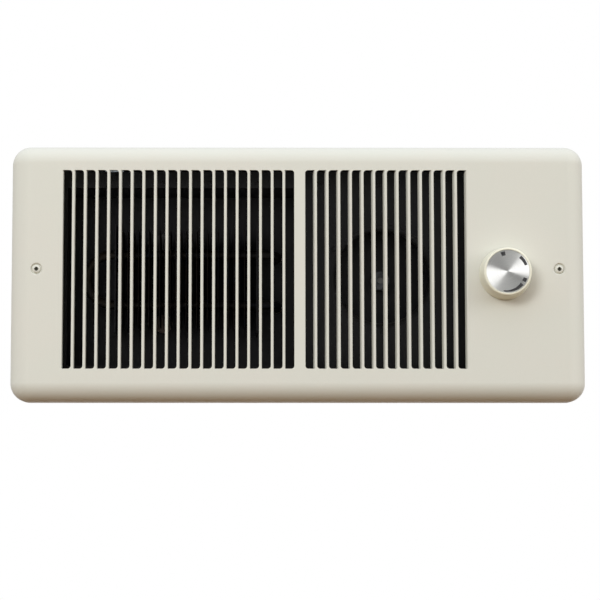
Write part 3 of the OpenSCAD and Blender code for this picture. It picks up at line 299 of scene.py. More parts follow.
def make_dust(name: str) -> NodeTree:
    """Builds thin dust that lies on surfaces that face up.

    Args:
        name: The group's name.

    Returns:
        The group.
    """
    graph, given, leave = group_tree(
        name, {"Vector": "Vector", "Color": "Color", "Dust": "Color", "Amount": "Float"},
        {"Color": "Color", "Mask": "Float"})
    normal = graph.add("NewGeometry").outputs["Normal"]
    upward = graph.remap(graph.add("SeparateXYZ", None, {0: normal}).outputs["Z"], low=0.55, high=0.98)
    noise = graph.noise(given["Vector"], size_mm=9.0, detail=5.0, roughness=0.65)
    cloud = graph.remap(noise, low=0.3, high=0.75, to_low=0.35)
    mask = graph.maths("MULTIPLY", graph.maths("MULTIPLY", upward, cloud), given["Amount"])
    graph.feed_all(leave, {"Color": graph.mix(mask, given["Color"], given["Dust"]), "Mask": mask})
    return graph.tree


def make_brush(name: str) -> NodeTree:
    """Builds the fine lines that rolling, drawing or turning leaves on metal.

    Args:
        name: The group's name.

    Returns:
        The group.
    """
    graph, given, leave = group_tree(
        name, {"Vector": "Vector", "Fine Scale": "Float", "Broad Scale": "Float"},
        {"Height": "Float", "Streak": "Float"})
    broad_share = 0.4
    fine = graph.noise(given["Vector"], given["Fine Scale"], detail=3.0, roughness=0.7)
    broad = graph.noise(given["Vector"], given["Broad Scale"])
    graph.feed_all(leave, {
        "Height": graph.maths("MULTIPLY_ADD", broad, broad_share, fine),
        "Streak": graph.remap(graph.maths("ADD", fine, broad), low=0.7, high=1.3)})
    return graph.tree


def make_spangle(name: str) -> NodeTree:
    """Builds the crystals of a hot-dipped zinc coat.

    Args:
        name: The group's name.

    Returns:
        The group.
    """
    graph, given, leave = group_tree(
        name, {"Vector": "Vector", "Scale": "Float"}, {"Tone": "Float", "Height": "Float"})
    warp_scale, warp_reach = 160.0, (0.005, 0.005, 0.005)
    facet_share = 0.65
    feather_stretch = (1.0, 1.0, 7.0)
    warp = graph.add("TexNoise", None, {"Vector": given["Vector"], "Scale": warp_scale, "Detail": 2.0})
    bent = graph.add("VectorMath", {"operation": "MULTIPLY_ADD"}, {
        0: warp.outputs["Color"], 1: warp_reach, 2: given["Vector"]}).outputs[0]
    crystal = graph.add("TexVoronoi", {"feature": "F1"}, {"Vector": bent, "Scale": given["Scale"]})
    facet = graph.add("SeparateColor", None, {0: crystal.outputs["Color"]})
    feather = graph.noise(graph.stretch(bent, feather_stretch), size_mm=2.2, detail=3.0, roughness=0.6)
    flat_tone = graph.maths("MULTIPLY", facet.outputs[0], facet_share)
    graph.feed_all(leave, {
        "Tone": graph.maths("MULTIPLY_ADD", feather, 1.0 - facet_share, flat_tone),
        "Height": graph.maths("ADD", facet.outputs[1], feather)})
    return graph.tree


def make_arc(name: str) -> NodeTree:
    """Builds a printed arc on a disc: U runs round it and V out from its middle, both from 0 to 1.

    Args:
        name: The group's name.

    Returns:
        The group.
    """
    labels = ("U", "V", "Start", "End", "Outer", "Thin", "Thick")
    graph, given, leave = group_tree(name, {label: "Float" for label in labels}, {"Mask": "Float"})
    span = graph.maths("SUBTRACT", given["End"], given["Start"])
    along = graph.maths("DIVIDE", graph.maths("SUBTRACT", given["U"], given["Start"]), span)
    growth = graph.maths("SUBTRACT", given["Thick"], given["Thin"])
    width = graph.maths("MULTIPLY_ADD", along, growth, given["Thin"])
    inner = graph.maths("SUBTRACT", given["Outer"], width)
    tests = (("GREATER_THAN", along, 0.0), ("LESS_THAN", along, 1.0),
             ("GREATER_THAN", given["V"], inner), ("LESS_THAN", given["V"], given["Outer"]))
    inside = [graph.maths(*test) for test in tests]
    mask = inside[0]
    for part in inside[1:]:
        mask = graph.maths("MULTIPLY", mask, part)
    graph.feed(leave.inputs["Mask"], mask)
    return graph.tree


EFFECT_MAKERS: dict[Effect, Callable[[str], NodeTree]] = {
    Effect.PEEL: make_peel,
    Effect.DRIFT: make_drift,
    Effect.DUST: make_dust,
    Effect.BRUSH: make_brush,
    Effect.SPANGLE: make_spangle,
    Effect.ARC: make_arc,
}
EFFECTS = GroupMaker()


# ------------------------------------------------------------------ finishes

DUST_TONE = srgb(176, 170, 158)
DUST_ROUGHNESS = 0.3
SPECK_SHARE = 0.5
# Share of the painted recess shade's reach over which it is fully dark.
RECESS_SHADE_CORE = 0.75
METRE_MM = 1000.0


@dataclass(frozen=True)
class Finish:
    """What all finishes share: the slot they are for, a colour, a gloss and a skin."""

    slot: str
    colour: Colour
    roughness: float = 0.5
    skin_mm: float = 0.02

    def material(self) -> Material:
        """Makes the finish's material.

        Returns:
            The material, named for the slot.
        """
        made = bpy.data.materials.new(self.slot)
        made.use_nodes = True
        graph = Graph(made.node_tree)
        shader = made.node_tree.nodes["Principled BSDF"]
        place = graph.add("TexCoord").outputs["Object"]
        made.diffuse_color = (*self.colour, 1.0)
        self.wire(graph, shader, place)
        return made

    def wire(self, graph: Graph, shader: Node, place: object) -> None:
        """Wires the finish.

        Args:
            graph: The material's graph.
            shader: Its Principled BSDF.
            place: Object coordinates.
        """
        raise NotImplementedError

    def bump(self, graph: Graph, shader: Node, height: object, strength: float = 1.0) -> None:
        """Gives the shader a bump whose full height is the finish's skin.

        Args:
            graph: The material's graph.
            shader: Its Principled BSDF.
            height: The height, from 0 to 1.
            strength: Share of the skin that shows.
        """
        node = graph.add("Bump", None, {
            "Height": height, "Strength": strength, "Distance": self.skin_mm * MM})
        graph.feed(shader.inputs["Normal"], node.outputs["Normal"])


@dataclass(frozen=True)
class CoatFinish(Finish):
    """Powder coat, paint, moulded plastic, rubber or glazed ceramic."""

    tint: Colour = (0.5, 0.5, 0.5)
    tint_share: float = 0.12
    ripple_mm: float = 1.6
    grit_mm: float = 0.45
    grit_share: float = 0.5
    drift_mm: float = 60.0
    dust: float = 0.0
    gloss_spread: float = 0.08
    speck_shade: float = 0.06
    specular: float = 0.5
    coat: float = 0.0
    # Painted shade: a darker colour laid in a small ball round each screw recess, and where that ball lies.
    recess_shade: Colour = (0.0, 0.0, 0.0)
    recess_shade_at: Triple = (0.0, 0.0, 0.0)
    recess_shade_r: float = 0.0

    def wire(self, graph: Graph, shader: Node, place: object) -> None:
        """Wires a coat: drifting colour, darker specks, dust on top and an orange peel.

        Args:
            graph: The material's graph.
            shader: Its Principled BSDF.
            place: Object coordinates.
        """
        peel = EFFECTS.place(graph, Effect.PEEL, {
            "Vector": place, "Ripple Scale": per_mm(self.ripple_mm), "Grit Scale": per_mm(self.grit_mm),
            "Grit Share": self.grit_share})
        drift = EFFECTS.place(graph, Effect.DRIFT, {
            "Vector": place, "Color": self.colour, "Tint": self.tint, "Scale": per_mm(self.drift_mm),
            "Amount": self.tint_share})
        shade = share_of(self.colour, 1.0 - self.speck_shade / SPECK_SHARE)
        specks = graph.maths("MULTIPLY", peel.outputs["Speck"], SPECK_SHARE)
        speckled = graph.mix(specks, drift.outputs["Color"], shade)
        dust = EFFECTS.place(graph, Effect.DUST, {
            "Vector": place, "Color": speckled, "Dust": DUST_TONE, "Amount": self.dust})
        half = self.gloss_spread / 2.0
        rough = graph.remap(peel.outputs["Speck"], 0.0, 1.0, self.roughness - half, self.roughness + half)
        graph.feed_all(shader, {
            "Base Color": self.with_recess_shade(graph, place, dust.outputs["Color"]),
            "Roughness": graph.maths("MULTIPLY_ADD", dust.outputs["Mask"], DUST_ROUGHNESS, rough),
            "Specular IOR Level": self.specular, "Coat Weight": self.coat})
        self.bump(graph, shader, peel.outputs["Height"])

    def with_recess_shade(self, graph: Graph, place: object, colour: object) -> object:
        """Adds painted shade in the recesses of two screws, one on each side of the middle.

        Args:
            graph: Where the nodes go.
            place: The Object coordinate.
            colour: The coat's colour so far.

        Returns:
            The colour to use.
        """
        if self.recess_shade_r == 0.0:
            return colour
        split = graph.add("SeparateXYZ", None, {0: place}).outputs
        beside = graph.maths("ABSOLUTE", split["X"])
        mirrored = graph.add("CombineXYZ", None, {0: beside, 1: split["Y"], 2: split["Z"]}).outputs[0]
        # Painted shade: the colour turns darker within a small ball round each screw recess, mirrored to
        # both sides.
        middle = tuple(part * MM for part in self.recess_shade_at)
        away = graph.add("VectorMath", {"operation": "DISTANCE"}, {0: mirrored, 1: middle}).outputs["Value"]
        reach = self.recess_shade_r * MM
        return graph.mix(graph.remap(away, reach * RECESS_SHADE_CORE, reach, 1.0, 0.0), colour, self.recess_shade)


@dataclass(frozen=True)
class MetalFinish(Finish):
    """Bare or plated metal with drawn lines and a tarnish that gathers in clouds."""

    tarnish: Colour = (0.3, 0.28, 0.25)
    tarnish_share: float = 0.3
    lines: Triple = (1.0, 1.0, 1.0)
    fine_mm: float = 0.5
    broad_mm: float = 4.0
    streak_share: float = 0.25
    streak_light: float = 0.72
    cloud_mm: float = 12.0
    cloud_dulls: float = 0.12
    gloss_range: Pair = (-0.06, 0.1)

    def wire(self, graph: Graph, shader: Node, place: object) -> None:
        """Wires a metal: clouds of tarnish, streaks along its lines and a fine bump.

        Args:
            graph: The material's graph.
            shader: Its Principled BSDF.
            place: Object coordinates.
        """
        brush = EFFECTS.place(graph, Effect.BRUSH, {
            "Vector": graph.stretch(place, self.lines),
            "Fine Scale": per_mm(self.fine_mm), "Broad Scale": per_mm(self.broad_mm)})
        drift = EFFECTS.place(graph, Effect.DRIFT, {
            "Vector": place, "Color": self.colour, "Tint": self.tarnish,
            "Scale": per_mm(self.cloud_mm), "Amount": self.tarnish_share})
        streaks = graph.maths("MULTIPLY", brush.outputs["Streak"], self.streak_share)
        smooth, rough = (self.roughness + change for change in self.gloss_range)
        gloss = graph.remap(brush.outputs["Streak"], 0.0, 1.0, smooth, rough)
        streaked = share_of(self.colour, self.streak_light)
        graph.feed_all(shader, {
            "Base Color": graph.mix(streaks, drift.outputs["Color"], streaked),
            "Roughness": graph.maths("MULTIPLY_ADD", drift.outputs["Mask"], self.cloud_dulls, gloss),
            "Metallic": 1.0})
        self.bump(graph, shader, brush.outputs["Height"])


@dataclass(frozen=True)
class ZincFinish(Finish):
    """Hot-dipped zinc on sheet steel, with its crystals."""

    crystal_mm: float = 9.0
    dull: Colour = (0.36, 0.38, 0.4)
    worn: Colour = srgb(196, 196, 190)
    worn_mm: float = 35.0
    worn_share: float = 0.3
    dust_tone: Colour = srgb(170, 164, 152)
    dust: float = 0.35
    metallic: Pair = (0.9, 0.2)
    gloss_spread: float = 0.14

    def wire(self, graph: Graph, shader: Node, place: object) -> None:
        """Wires the zinc: each crystal has its own tone and gloss.

        Args:
            graph: The material's graph.
            shader: Its Principled BSDF.
            place: Object coordinates.
        """
        spangle = EFFECTS.place(graph, Effect.SPANGLE, {"Vector": place, "Scale": per_mm(self.crystal_mm)})
        tone = spangle.outputs["Tone"]
        drift = EFFECTS.place(graph, Effect.DRIFT, {
            "Vector": place, "Color": graph.mix(tone, self.dull, self.colour), "Tint": self.worn,
            "Scale": per_mm(self.worn_mm), "Amount": self.worn_share})
        dust = EFFECTS.place(graph, Effect.DUST, {
            "Vector": place, "Color": drift.outputs["Color"], "Dust": self.dust_tone, "Amount": self.dust})
        rough = self.roughness + self.gloss_spread
        graph.feed_all(shader, {
            "Base Color": dust.outputs["Color"],
            "Metallic": graph.remap(dust.outputs["Mask"], 0.0, 1.0, *self.metallic),
            "Roughness": graph.remap(tone, 0.1, 0.9, rough, self.roughness)})
        self.bump(graph, shader, spangle.outputs["Height"])


@dataclass(frozen=True)
class HeatFinish(Finish):
    """Steel that runs hot: straw and blue tints in bands, with scale on them."""

    straw: Colour = (0.3, 0.2, 0.09)
    blue: Colour = (0.06, 0.08, 0.14)
    band_mm: float = 34.0
    band_stretch: Triple = (1.0, 0.4, 1.0)
    straw_range: Pair = (0.35, 0.55)
    blue_range: Pair = (0.52, 0.68)
    scale_mm: float = 1.4
    scale_range: Pair = (0.45, 0.7)
    scale_light: float = 0.35
    scale_share: float = 0.6
    scale_dulls: float = 0.3
    metallic: Pair = (0.9, 0.4)

    def wire(self, graph: Graph, shader: Node, place: object) -> None:
        """Wires the tints over the steel and lets the scale take away its gloss.

        Args:
            graph: The material's graph.
            shader: Its Principled BSDF.
            place: Object coordinates.
        """
        wide = graph.noise(graph.stretch(place, self.band_stretch), self.band_mm)
        fine = graph.noise(place, self.scale_mm, detail=4.0, roughness=0.65)
        warm = graph.mix(graph.remap(wide, *self.straw_range), self.colour, self.straw)
        tinted = graph.mix(graph.remap(wide, *self.blue_range), warm, self.blue)
        scale = graph.remap(fine, *self.scale_range)
        covered = graph.maths("MULTIPLY", scale, self.scale_share)
        rough = self.roughness + self.scale_dulls
        graph.feed_all(shader, {
            "Base Color": graph.mix(covered, tinted, share_of(self.colour, self.scale_light)),
            "Metallic": graph.remap(scale, 0.0, 1.0, *self.metallic),
            "Roughness": graph.remap(scale, 0.0, 1.0, self.roughness, rough)})
        self.bump(graph, shader, fine)


@dataclass(frozen=True)
class PrintedArc:
    """One mark printed near the disc's rim: degrees anticlockwise from the right, shares of the radius."""

    start: float
    end: float
    outer: float
    thin: float
    thick: float


@dataclass(frozen=True)
class SpunFinish(Finish):
    """Spun aluminium whose turning lines run round the disc, with a printed scale at its rim."""

    uv: str = "Polar"
    groove_count: float = 70.0
    ink: Colour = (0.02, 0.02, 0.022)
    ink_wear: Pair = (0.8, 0.97)
    ink_dulls: float = 0.25
    scratch_light: float = 0.86
    scratch_stretch: Triple = (3.0, 180.0, 1.0)
    gloss_range: Pair = (-0.03, 0.05)
    anisotropy: float = 1.0
    quarter_turn: float = 0.25
    groove_share: float = 0.6
    marks: tuple[PrintedArc, ...] = (
        PrintedArc(257.0, 318.0, 0.95, 0.05, 0.17),
        PrintedArc(327.0, 339.0, 0.94, 0.17, 0.17),
        PrintedArc(19.0, 50.0, 0.95, 0.13, 0.15),
        PrintedArc(98.0, 111.0, 0.93, 0.19, 0.19),
    )

    def wire(self, graph: Graph, shader: Node, place: object) -> None:
        """Wires the turned face: grooves by radius, streaks round it, and the ink over both.

        Args:
            graph: The material's graph.
            shader: Its Principled BSDF.
            place: Object coordinates.
        """
        polar = graph.add("UVMap", {"uv_map": self.uv}).outputs["UV"]
        split = graph.add("SeparateXYZ", None, {0: polar})
        turn, radius = split.outputs["X"], split.outputs["Y"]
        ringed = graph.add("CombineXYZ", None, {0: 0.0, 1: radius, 2: 0.0}).outputs[0]
        groove = graph.noise(ringed, METRE_MM / self.groove_count, detail=3.0, roughness=0.75)
        scratch = graph.noise(graph.stretch(polar, self.scratch_stretch), METRE_MM)
        ink = None
        for mark in self.marks:
            arc = EFFECTS.place(graph, Effect.ARC, {
                "U": turn, "V": radius, "Start": mark.start / 360.0, "End": mark.end / 360.0,
                "Outer": mark.outer, "Thin": mark.thin, "Thick": mark.thick}).outputs["Mask"]
            ink = arc if ink is None else graph.maths("MAXIMUM", ink, arc)
        wear = graph.remap(graph.noise(place, size_mm=0.5, detail=3.0), 0.3, 0.45, *self.ink_wear)
        worn = graph.maths("MULTIPLY", ink, wear)
        scratched = share_of(self.colour, self.scratch_light)
        metal = graph.mix(graph.remap(scratch, low=0.4, high=0.65), self.colour, scratched)
        smooth, rough = (self.roughness + change for change in self.gloss_range)
        gloss = graph.remap(groove, 0.35, 0.65, smooth, rough)
        tangent = graph.add("Tangent", {"direction_type": "UV_MAP", "uv_map": self.uv})
        graph.feed_all(shader, {
            "Base Color": graph.mix(worn, metal, self.ink), "Metallic": graph.maths("SUBTRACT", 1.0, worn),
            "Roughness": graph.maths("MULTIPLY_ADD", worn, self.ink_dulls, gloss),
            "Anisotropic": self.anisotropy, "Anisotropic Rotation": self.quarter_turn,
            "Tangent": tangent.outputs["Tangent"]})
        self.bump(graph, shader, groove, self.groove_share)


FINISHES: tuple[Finish, ...] = (
    # The enamel's darker colour round the two screw recesses is painted shade.
    CoatFinish("enamelled_steel", srgb(215, 216, 204), 0.46, 0.012, tint=srgb(220, 215, 204),
               tint_share=0.35, dust=0.12, speck_shade=0.02, specular=0.2, recess_shade=srgb(70, 70, 58),
               recess_shade_at=(221.0, -24.6, 2.7), recess_shade_r=2.1),
    CoatFinish("knob_plastic", srgb(236, 235, 215), 0.38, 0.006, tint=srgb(218, 216, 194), tint_share=0.4,
               ripple_mm=2.4, grit_mm=0.3, grit_share=0.3, drift_mm=14.0, speck_shade=0.02),
    SpunFinish("spun_aluminium", (0.86, 0.85, 0.79), 0.36, 0.006),
    CoatFinish("black_mark", (0.012, 0.012, 0.013), 0.42, 0.006, tint=(0.03, 0.03, 0.03), ripple_mm=0.5,
               grit_mm=0.15),
    ZincFinish("galvanised_steel", srgb(208, 212, 214), 0.3, 0.006),
    CoatFinish("dark_steel", srgb(20, 20, 21), 0.6, 0.012, tint=srgb(30, 28, 27), tint_share=0.4, dust=0.06,
               specular=0.25),
    MetalFinish("plated_steel", srgb(106, 106, 104), 0.46, 0.004, tarnish=srgb(84, 80, 72)),
    CoatFinish("green_screw", srgb(44, 122, 66), 0.3, 0.004, tint=srgb(70, 140, 84), ripple_mm=0.8,
               grit_mm=0.2, coat=0.3),
    CoatFinish("black_plastic", srgb(30, 29, 28), 0.42, 0.008, tint=srgb(44, 40, 37), tint_share=0.3,
               ripple_mm=0.9, grit_mm=0.25, dust=0.3),
    CoatFinish("brown_plastic", srgb(84, 62, 44), 0.4, 0.008, tint=srgb(60, 42, 30), tint_share=0.5,
               ripple_mm=0.9, grit_mm=0.2, drift_mm=5.0, dust=0.2),
    MetalFinish("brass", srgb(206, 172, 96), 0.28, 0.004, tarnish=srgb(140, 104, 56)),
    MetalFinish("rotor_steel", srgb(122, 124, 128), 0.34, 0.006, lines=(1.0, 14.0, 1.0),
                tarnish=srgb(96, 74, 56)),
    MetalFinish("iron", srgb(104, 106, 112), 0.42, 0.02, lines=(0.05, 2.0, 0.05), fine_mm=0.5, broad_mm=2.0,
                tarnish=srgb(84, 64, 50), streak_share=0.6),
    MetalFinish("copper", srgb(176, 92, 52), 0.3, 0.02, lines=(2.0, 0.1, 0.1), fine_mm=1.0, broad_mm=3.0,
                tarnish=srgb(92, 42, 26), streak_share=0.5),
    CoatFinish("nylon", srgb(228, 222, 204), 0.36, 0.006, tint=srgb(206, 196, 170), tint_share=0.4,
               ripple_mm=2.0, grit_mm=0.3, drift_mm=8.0),
    MetalFinish("cast_zinc", srgb(92, 93, 95), 0.56, 0.03, fine_mm=0.8, broad_mm=3.0,
                tarnish=srgb(66, 64, 61), tarnish_share=0.5),
    CoatFinish("rubber", srgb(34, 34, 35), 0.68, 0.015, tint=srgb(52, 51, 49), tint_share=0.5,
               ripple_mm=0.7, grit_mm=0.2, drift_mm=4.0, specular=0.3),
    HeatFinish("element_steel", srgb(40, 38, 37), 0.55, 0.02, straw=(0.022, 0.017, 0.011),
               blue=(0.009, 0.011, 0.018)),
    HeatFinish("fin_steel", srgb(34, 32, 31), 0.58, 0.01, straw=(0.02, 0.015, 0.01),
               blue=(0.008, 0.01, 0.016), band_mm=26.0),
    CoatFinish("ceramic", srgb(232, 229, 218), 0.32, 0.01, tint=srgb(214, 206, 186), tint_share=0.4,
               ripple_mm=1.4, grit_mm=0.25, drift_mm=5.0, coat=0.2),
    CoatFinish("red_lead", srgb(142, 34, 28), 0.36, 0.006, tint=srgb(118, 26, 22), tint_share=0.5,
               ripple_mm=1.8, grit_mm=0.3, drift_mm=12.0, dust=0.25),
    CoatFinish("black_lead", srgb(34, 34, 37), 0.38, 0.006, tint=srgb(50, 49, 50), tint_share=0.5,
               ripple_mm=1.8, grit_mm=0.3, drift_mm=12.0, dust=0.25),
)


def slot_of(node: str) -> str:
    """Returns the material slot that the record gives a CAD node."""
    return next(row["material_slot"] for row in frame["record"]["subparts"] if row["node"] == node)


class Paintshop:
    """Makes each finish once and gives it to the pieces that take it."""

    def __init__(self, finishes: Iterable[Finish]) -> None:
        """Makes all the materials."""
        self.materials = {finish.slot: finish.material() for finish in finishes}

    def dress_frame(self, kept: Iterable[str]) -> None:
        """Gives the CAD nodes that stay in view the finish of their own slot.

        Args:
            kept: Names of those nodes.
        """
        for name in kept:
            node = frame["nodes"][name]
            slot = slot_of(name)
            if not node.material_slots:
                node.data.materials.append(self.materials[slot])
            for holder in node.material_slots:
                holder.material = self.materials[slot]
            log.info("frame node %s takes %s", name, slot)


# ------------------------------------------------------------------ bench work

TOUCH = 1e-3
MERGE = 1e-4
FLAT = 0.999
FACING = 0.5
PLATE_EDGE_STEPS = 2


def node_box(name: str) -> tuple[Vector, Vector]:
    """Returns the lowest and highest corner of a CAD node, in millimetres."""
    low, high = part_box(name)
    return low / MM, high / MM


FRONT_Y = node_box("front_cover")[0].y


def new_of(result: dict, kind: type) -> list:
    """Returns the pieces of one kind in the geometry that an operator gives back."""
    return [item for item in result["geom"] if isinstance(item, kind)]


def with_parts(faces: Iterable[BMFace]) -> list:
    """Lists faces with all their edges and corners, as the operators take them.

    Args:
        faces: The faces.

    Returns:
        The corners, the edges and the faces.
    """
    faces = list(faces)
    edges = {edge for face in faces for edge in face.edges}
    verts = {vert for face in faces for vert in face.verts}
    return [*verts, *edges, *faces]


def cut(bm: BMesh, faces: Iterable[BMFace], point: Sequence[float],
        normal: Sequence[float]) -> list[BMFace]:
    """Cuts faces along a plane.

    Args:
        bm: The mesh.
        faces: The faces to cut.
        point: A point on the plane.
        normal: The plane's normal.

    Returns:
        All the faces that they became.
    """
    result = bmesh.ops.bisect_plane(bm, geom=with_parts(faces), dist=MERGE, plane_co=point, plane_no=normal)
    return new_of(result, BMFace)


def nearest(faces: Iterable[BMFace], point: Vector) -> BMFace:
    """Returns the face whose middle lies nearest to a point."""
    return min(faces, key=lambda face: (face.calc_center_bounds() - point).length)


def cap_loop(bm: BMesh, edges: Sequence[BMEdge]) -> BMFace:
    """Closes a ring of edges with one face, and returns it."""
    return bmesh.ops.edgeloop_fill(bm, edges=list(edges))["faces"][0]


def rounded(bm: BMesh, geom: Iterable, radius: float, steps: int, affect: str = "EDGES",
            clamped: bool = False) -> None:
    """Rounds edges or corners.

    Args:
        bm: The mesh.
        geom: The edges, or the corners of a sheet.
        radius: Distance from each edge at which its rounding starts.
        steps: Strips of the rounding.
        affect: Whether it takes edges or corners.
        clamped: Whether a rounding stops where it meets another.
    """
    bmesh.ops.bevel(bm, geom=list(geom), offset=radius, offset_type="OFFSET", segments=steps, profile=0.5,
                    affect=affect, material=-1, clamp_overlap=clamped)


def spun(bm: BMesh, profile: Sequence[Pair], centre: Vector, axis: Vector,
         steps: int) -> list[BMVert]:
    """Turns a profile into a round piece.

    Args:
        bm: The mesh to add to.
        profile: Radius and height of each point, the height along the axis.
        centre: Point on the axis where the height is 0.
        axis: Direction of growing height.
        steps: Sides of the turn.

    Returns:
        The corners that were added.
    """
    axis = axis.normalized()
    side = axis.orthogonal().normalized()
    verts = [bm.verts.new(centre + side * radius + axis * height) for radius, height in profile]
    edges = [bm.edges.new(pair) for pair in zip(verts, verts[1:])]
    before = set(bm.verts) - set(verts)
    bmesh.ops.spin(bm, geom=[*verts, *edges], cent=centre, axis=axis, angle=math.tau, steps=steps,
                   use_merge=True)
    added = [vert for vert in bm.verts if vert not in before]
    bmesh.ops.remove_doubles(bm, verts=added, dist=MERGE)
    return [vert for vert in bm.verts if vert not in before]


def arc_points(centre: Pair, radius: float, start: float, end: float,
               steps: int) -> list[Pair]:
    """Returns points on an arc.

    Args:
        centre: Middle of the arc.
        radius: Its radius.
        start: First angle, in degrees.
        end: Last angle.
        steps: Number of chords.

    Returns:
        The points, both ends included.
    """
    angles = (math.radians(start + (end - start) * i / steps) for i in range(steps + 1))
    return [(centre[0] + radius * math.cos(a), centre[1] + radius * math.sin(a)) for a in angles]


def plate(bm: BMesh, low: Sequence[float], high: Sequence[float], edge_r: float = 0.0) -> list[BMVert]:
    """Adds a plate or block from its lowest to its highest corner.

    Args:
        bm: The mesh to add to.
        low: Lowest corner.
        high: Highest corner.
        edge_r: Radius of its edges.

    Returns:
        The corners that were added.
    """
    low, high = Vector(low), Vector(high)
    shape = Matrix.Translation((low + high) / 2.0) @ Matrix.Diagonal((*(high - low), 1.0))
    before = set(bm.verts)
    verts = bmesh.ops.create_cube(bm, size=1.0, matrix=shape)["verts"]
    if edge_r > 0.0:
        edges = {edge for vert in verts for edge in vert.link_edges}
        rounded(bm, edges, edge_r, PLATE_EDGE_STEPS, clamped=True)
    return [vert for vert in bm.verts if vert not in before]


def outside_by(face: BMFace, point: Vector) -> float:
    """Measures how far a point lies outside the box round a face.

    Args:
        face: The face.
        point: The point.

    Returns:
        The sum of the distances along the three axes, 0 inside the box.
    """
    away = 0.0
    for axis in range(3):
        places = [vert.co[axis] for vert in face.verts]
        away += max(min(places) - point[axis], point[axis] - max(places), 0.0)
    return away


def holding(faces: Iterable[BMFace], point: Vector) -> BMFace:
    """Returns the face with a point inside its box."""
    return min(faces, key=lambda face: outside_by(face, point))


def punch(bm: BMesh, centre: Vector, normal: Vector, rings: Sequence[Pair],
          margin: float = 2.0, steps: int = 32) -> list[BMEdge]:
    """Opens a round hole in a flat face and forms its rim.

    Args:
        bm: The mesh.
        centre: Middle of the hole, on the face.
        normal: The face's normal.
        rings: Radius and depth of each ring of the rim; the first lies on the face.
        margin: Space round the first ring that is meshed with it.
        steps: Sides of the hole.

    Returns:
        The edges of the last ring, which are open.
    """
    bm.normal_update()
    reach = rings[0][0] + margin
    flat = [face for face in bm.faces
            if face.normal.dot(normal) > FLAT and abs((face.verts[0].co - centre).dot(normal)) < TOUCH]
    well = holding(flat, centre)
    across = Vector((normal.y, normal.z, normal.x))
    sides = (across, normal.cross(across))
    for side in sides:
        for way in (-reach, reach):
            well = holding(cut(bm, [well], centre + side * way, side), centre)
    square = list(well.edges)
    bmesh.ops.delete(bm, geom=[well], context="FACES_ONLY")
    bmesh.ops.subdivide_edges(bm, edges=square, cuts=steps // 4 - 1)

    def on_square(vert: BMVert) -> bool:
        """Tells whether a corner lies on the square round the hole.

        Args:
            vert: The corner.

        Returns:
            True when it does.
        """
        away = vert.co - centre
        farthest = max(abs(away.dot(side)) for side in sides)
        return abs(away.dot(normal)) < TOUCH and abs(farthest - reach) < TOUCH

    outer = [edge for edge in bm.edges if edge.is_boundary and all(on_square(vert) for vert in edge.verts)]
    turn = Matrix.Translation(centre) @ Axis.UP.value.rotation_difference(normal).to_matrix().to_4x4()
    circle = bmesh.ops.create_circle(bm, cap_ends=False, radius=rings[0][0], segments=steps, matrix=turn)
    edges = list({edge for vert in circle["verts"] for edge in vert.link_edges})
    bmesh.ops.bridge_loops(bm, edges=[*outer, *edges])
    radius, depth = rings[0]
    for next_radius, next_depth in rings[1:]:
        grown = bmesh.ops.extrude_edge_only(bm, edges=edges)
        verts = new_of(grown, BMVert)
        scale = next_radius / radius
        middle = centre - normal * depth
        bmesh.ops.scale(bm, vec=(scale, scale, scale), space=Matrix.Translation(-middle), verts=verts)
        bmesh.ops.translate(bm, vec=normal * (depth - next_depth), verts=verts)
        ring = set(verts)
        edges = [edge for edge in new_of(grown, BMEdge) if ring.issuperset(edge.verts)]
        radius, depth = next_radius, next_depth
    return edges


def face_out(bm: BMesh, out: Vector) -> None:
    """Turns all faces of a skin the same way.

    Args:
        bm: The mesh.
        out: Direction that the skin's largest face looks along.
    """
    bmesh.ops.recalc_face_normals(bm, faces=bm.faces)
    bm.normal_update()
    if max(bm.faces, key=lambda face: face.calc_area()).normal.dot(out) < 0.0:
        bmesh.ops.reverse_faces(bm, faces=bm.faces)
        bm.normal_update()


def thicken(bm: BMesh, thickness: float, out: Vector) -> None:
    """Gives a skin its wall, on the inner side.

    Args:
        bm: The mesh.
        thickness: Thickness of the wall.
        out: Direction that the skin's largest face looks along.
    """
    face_out(bm, out)
    bmesh.ops.solidify(bm, geom=list(bm.faces), thickness=thickness)
    bmesh.ops.recalc_face_normals(bm, faces=bm.faces)


def object_of(bm: BMesh, name: str, material: Material) -> Object:
    """Makes a mesh an object of the scene, and frees it.

    Args:
        bm: The mesh, in metres.
        name: Name of the object.
        material: Its material.

    Returns:
        The object.
    """
    mesh = bpy.data.meshes.new(name)
    bm.to_mesh(mesh)
    bm.free()
    mesh.materials.append(material)
    return in_scene(name, mesh)


def in_scene(name: str, data: ID) -> Object:
    """Makes an object of a mesh, camera or lamp, and links it to the scene.

    Args:
        name: Name of the object.
        data: What it shows.

    Returns:
        The object.
    """
    obj = bpy.data.objects.new(name, data)
    bpy.context.scene.collection.objects.link(obj)
    return obj


@dataclass
class Piece:
    """One piece of the heater: what it is called, takes its finish from, rides on and stands for."""

    name: str
    slot: str
    stands_for: tuple[str, ...]
    body: Body = Body.HOUSING
    smooth_angle: float = 35.0

    def shape(self, bm: BMesh) -> None:
        """Builds the piece's mesh.

        Args:
            bm: The mesh to build in, in millimetres.
        """
        raise NotImplementedError

    def refine(self, obj: Object) -> None:
        """Adds modifiers to the piece; most pieces need none."""

    def build(self, shop: Paintshop) -> Object:
        """Builds and dresses the piece.

        Args:
            shop: Where the finish comes from.

        Returns:
            The object, which rides on its body.
        """
        bm = bmesh.new()
        self.shape(bm)
        bmesh.ops.scale(bm, vec=(MM, MM, MM), verts=bm.verts)
        obj = object_of(bm, self.name, shop.materials[self.slot])
        obj.data.polygons.foreach_set("use_smooth", [True] * len(obj.data.polygons))
        obj.data.set_sharp_from_angle(angle=math.radians(self.smooth_angle))
        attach(obj, self.body.value)
        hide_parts(*self.stands_for)
        self.refine(obj)
        log.info("piece %s: %d faces, rides on %s", self.name, len(obj.data.polygons), self.body.value)
        return obj


# ------------------------------------------------------------------ front cover


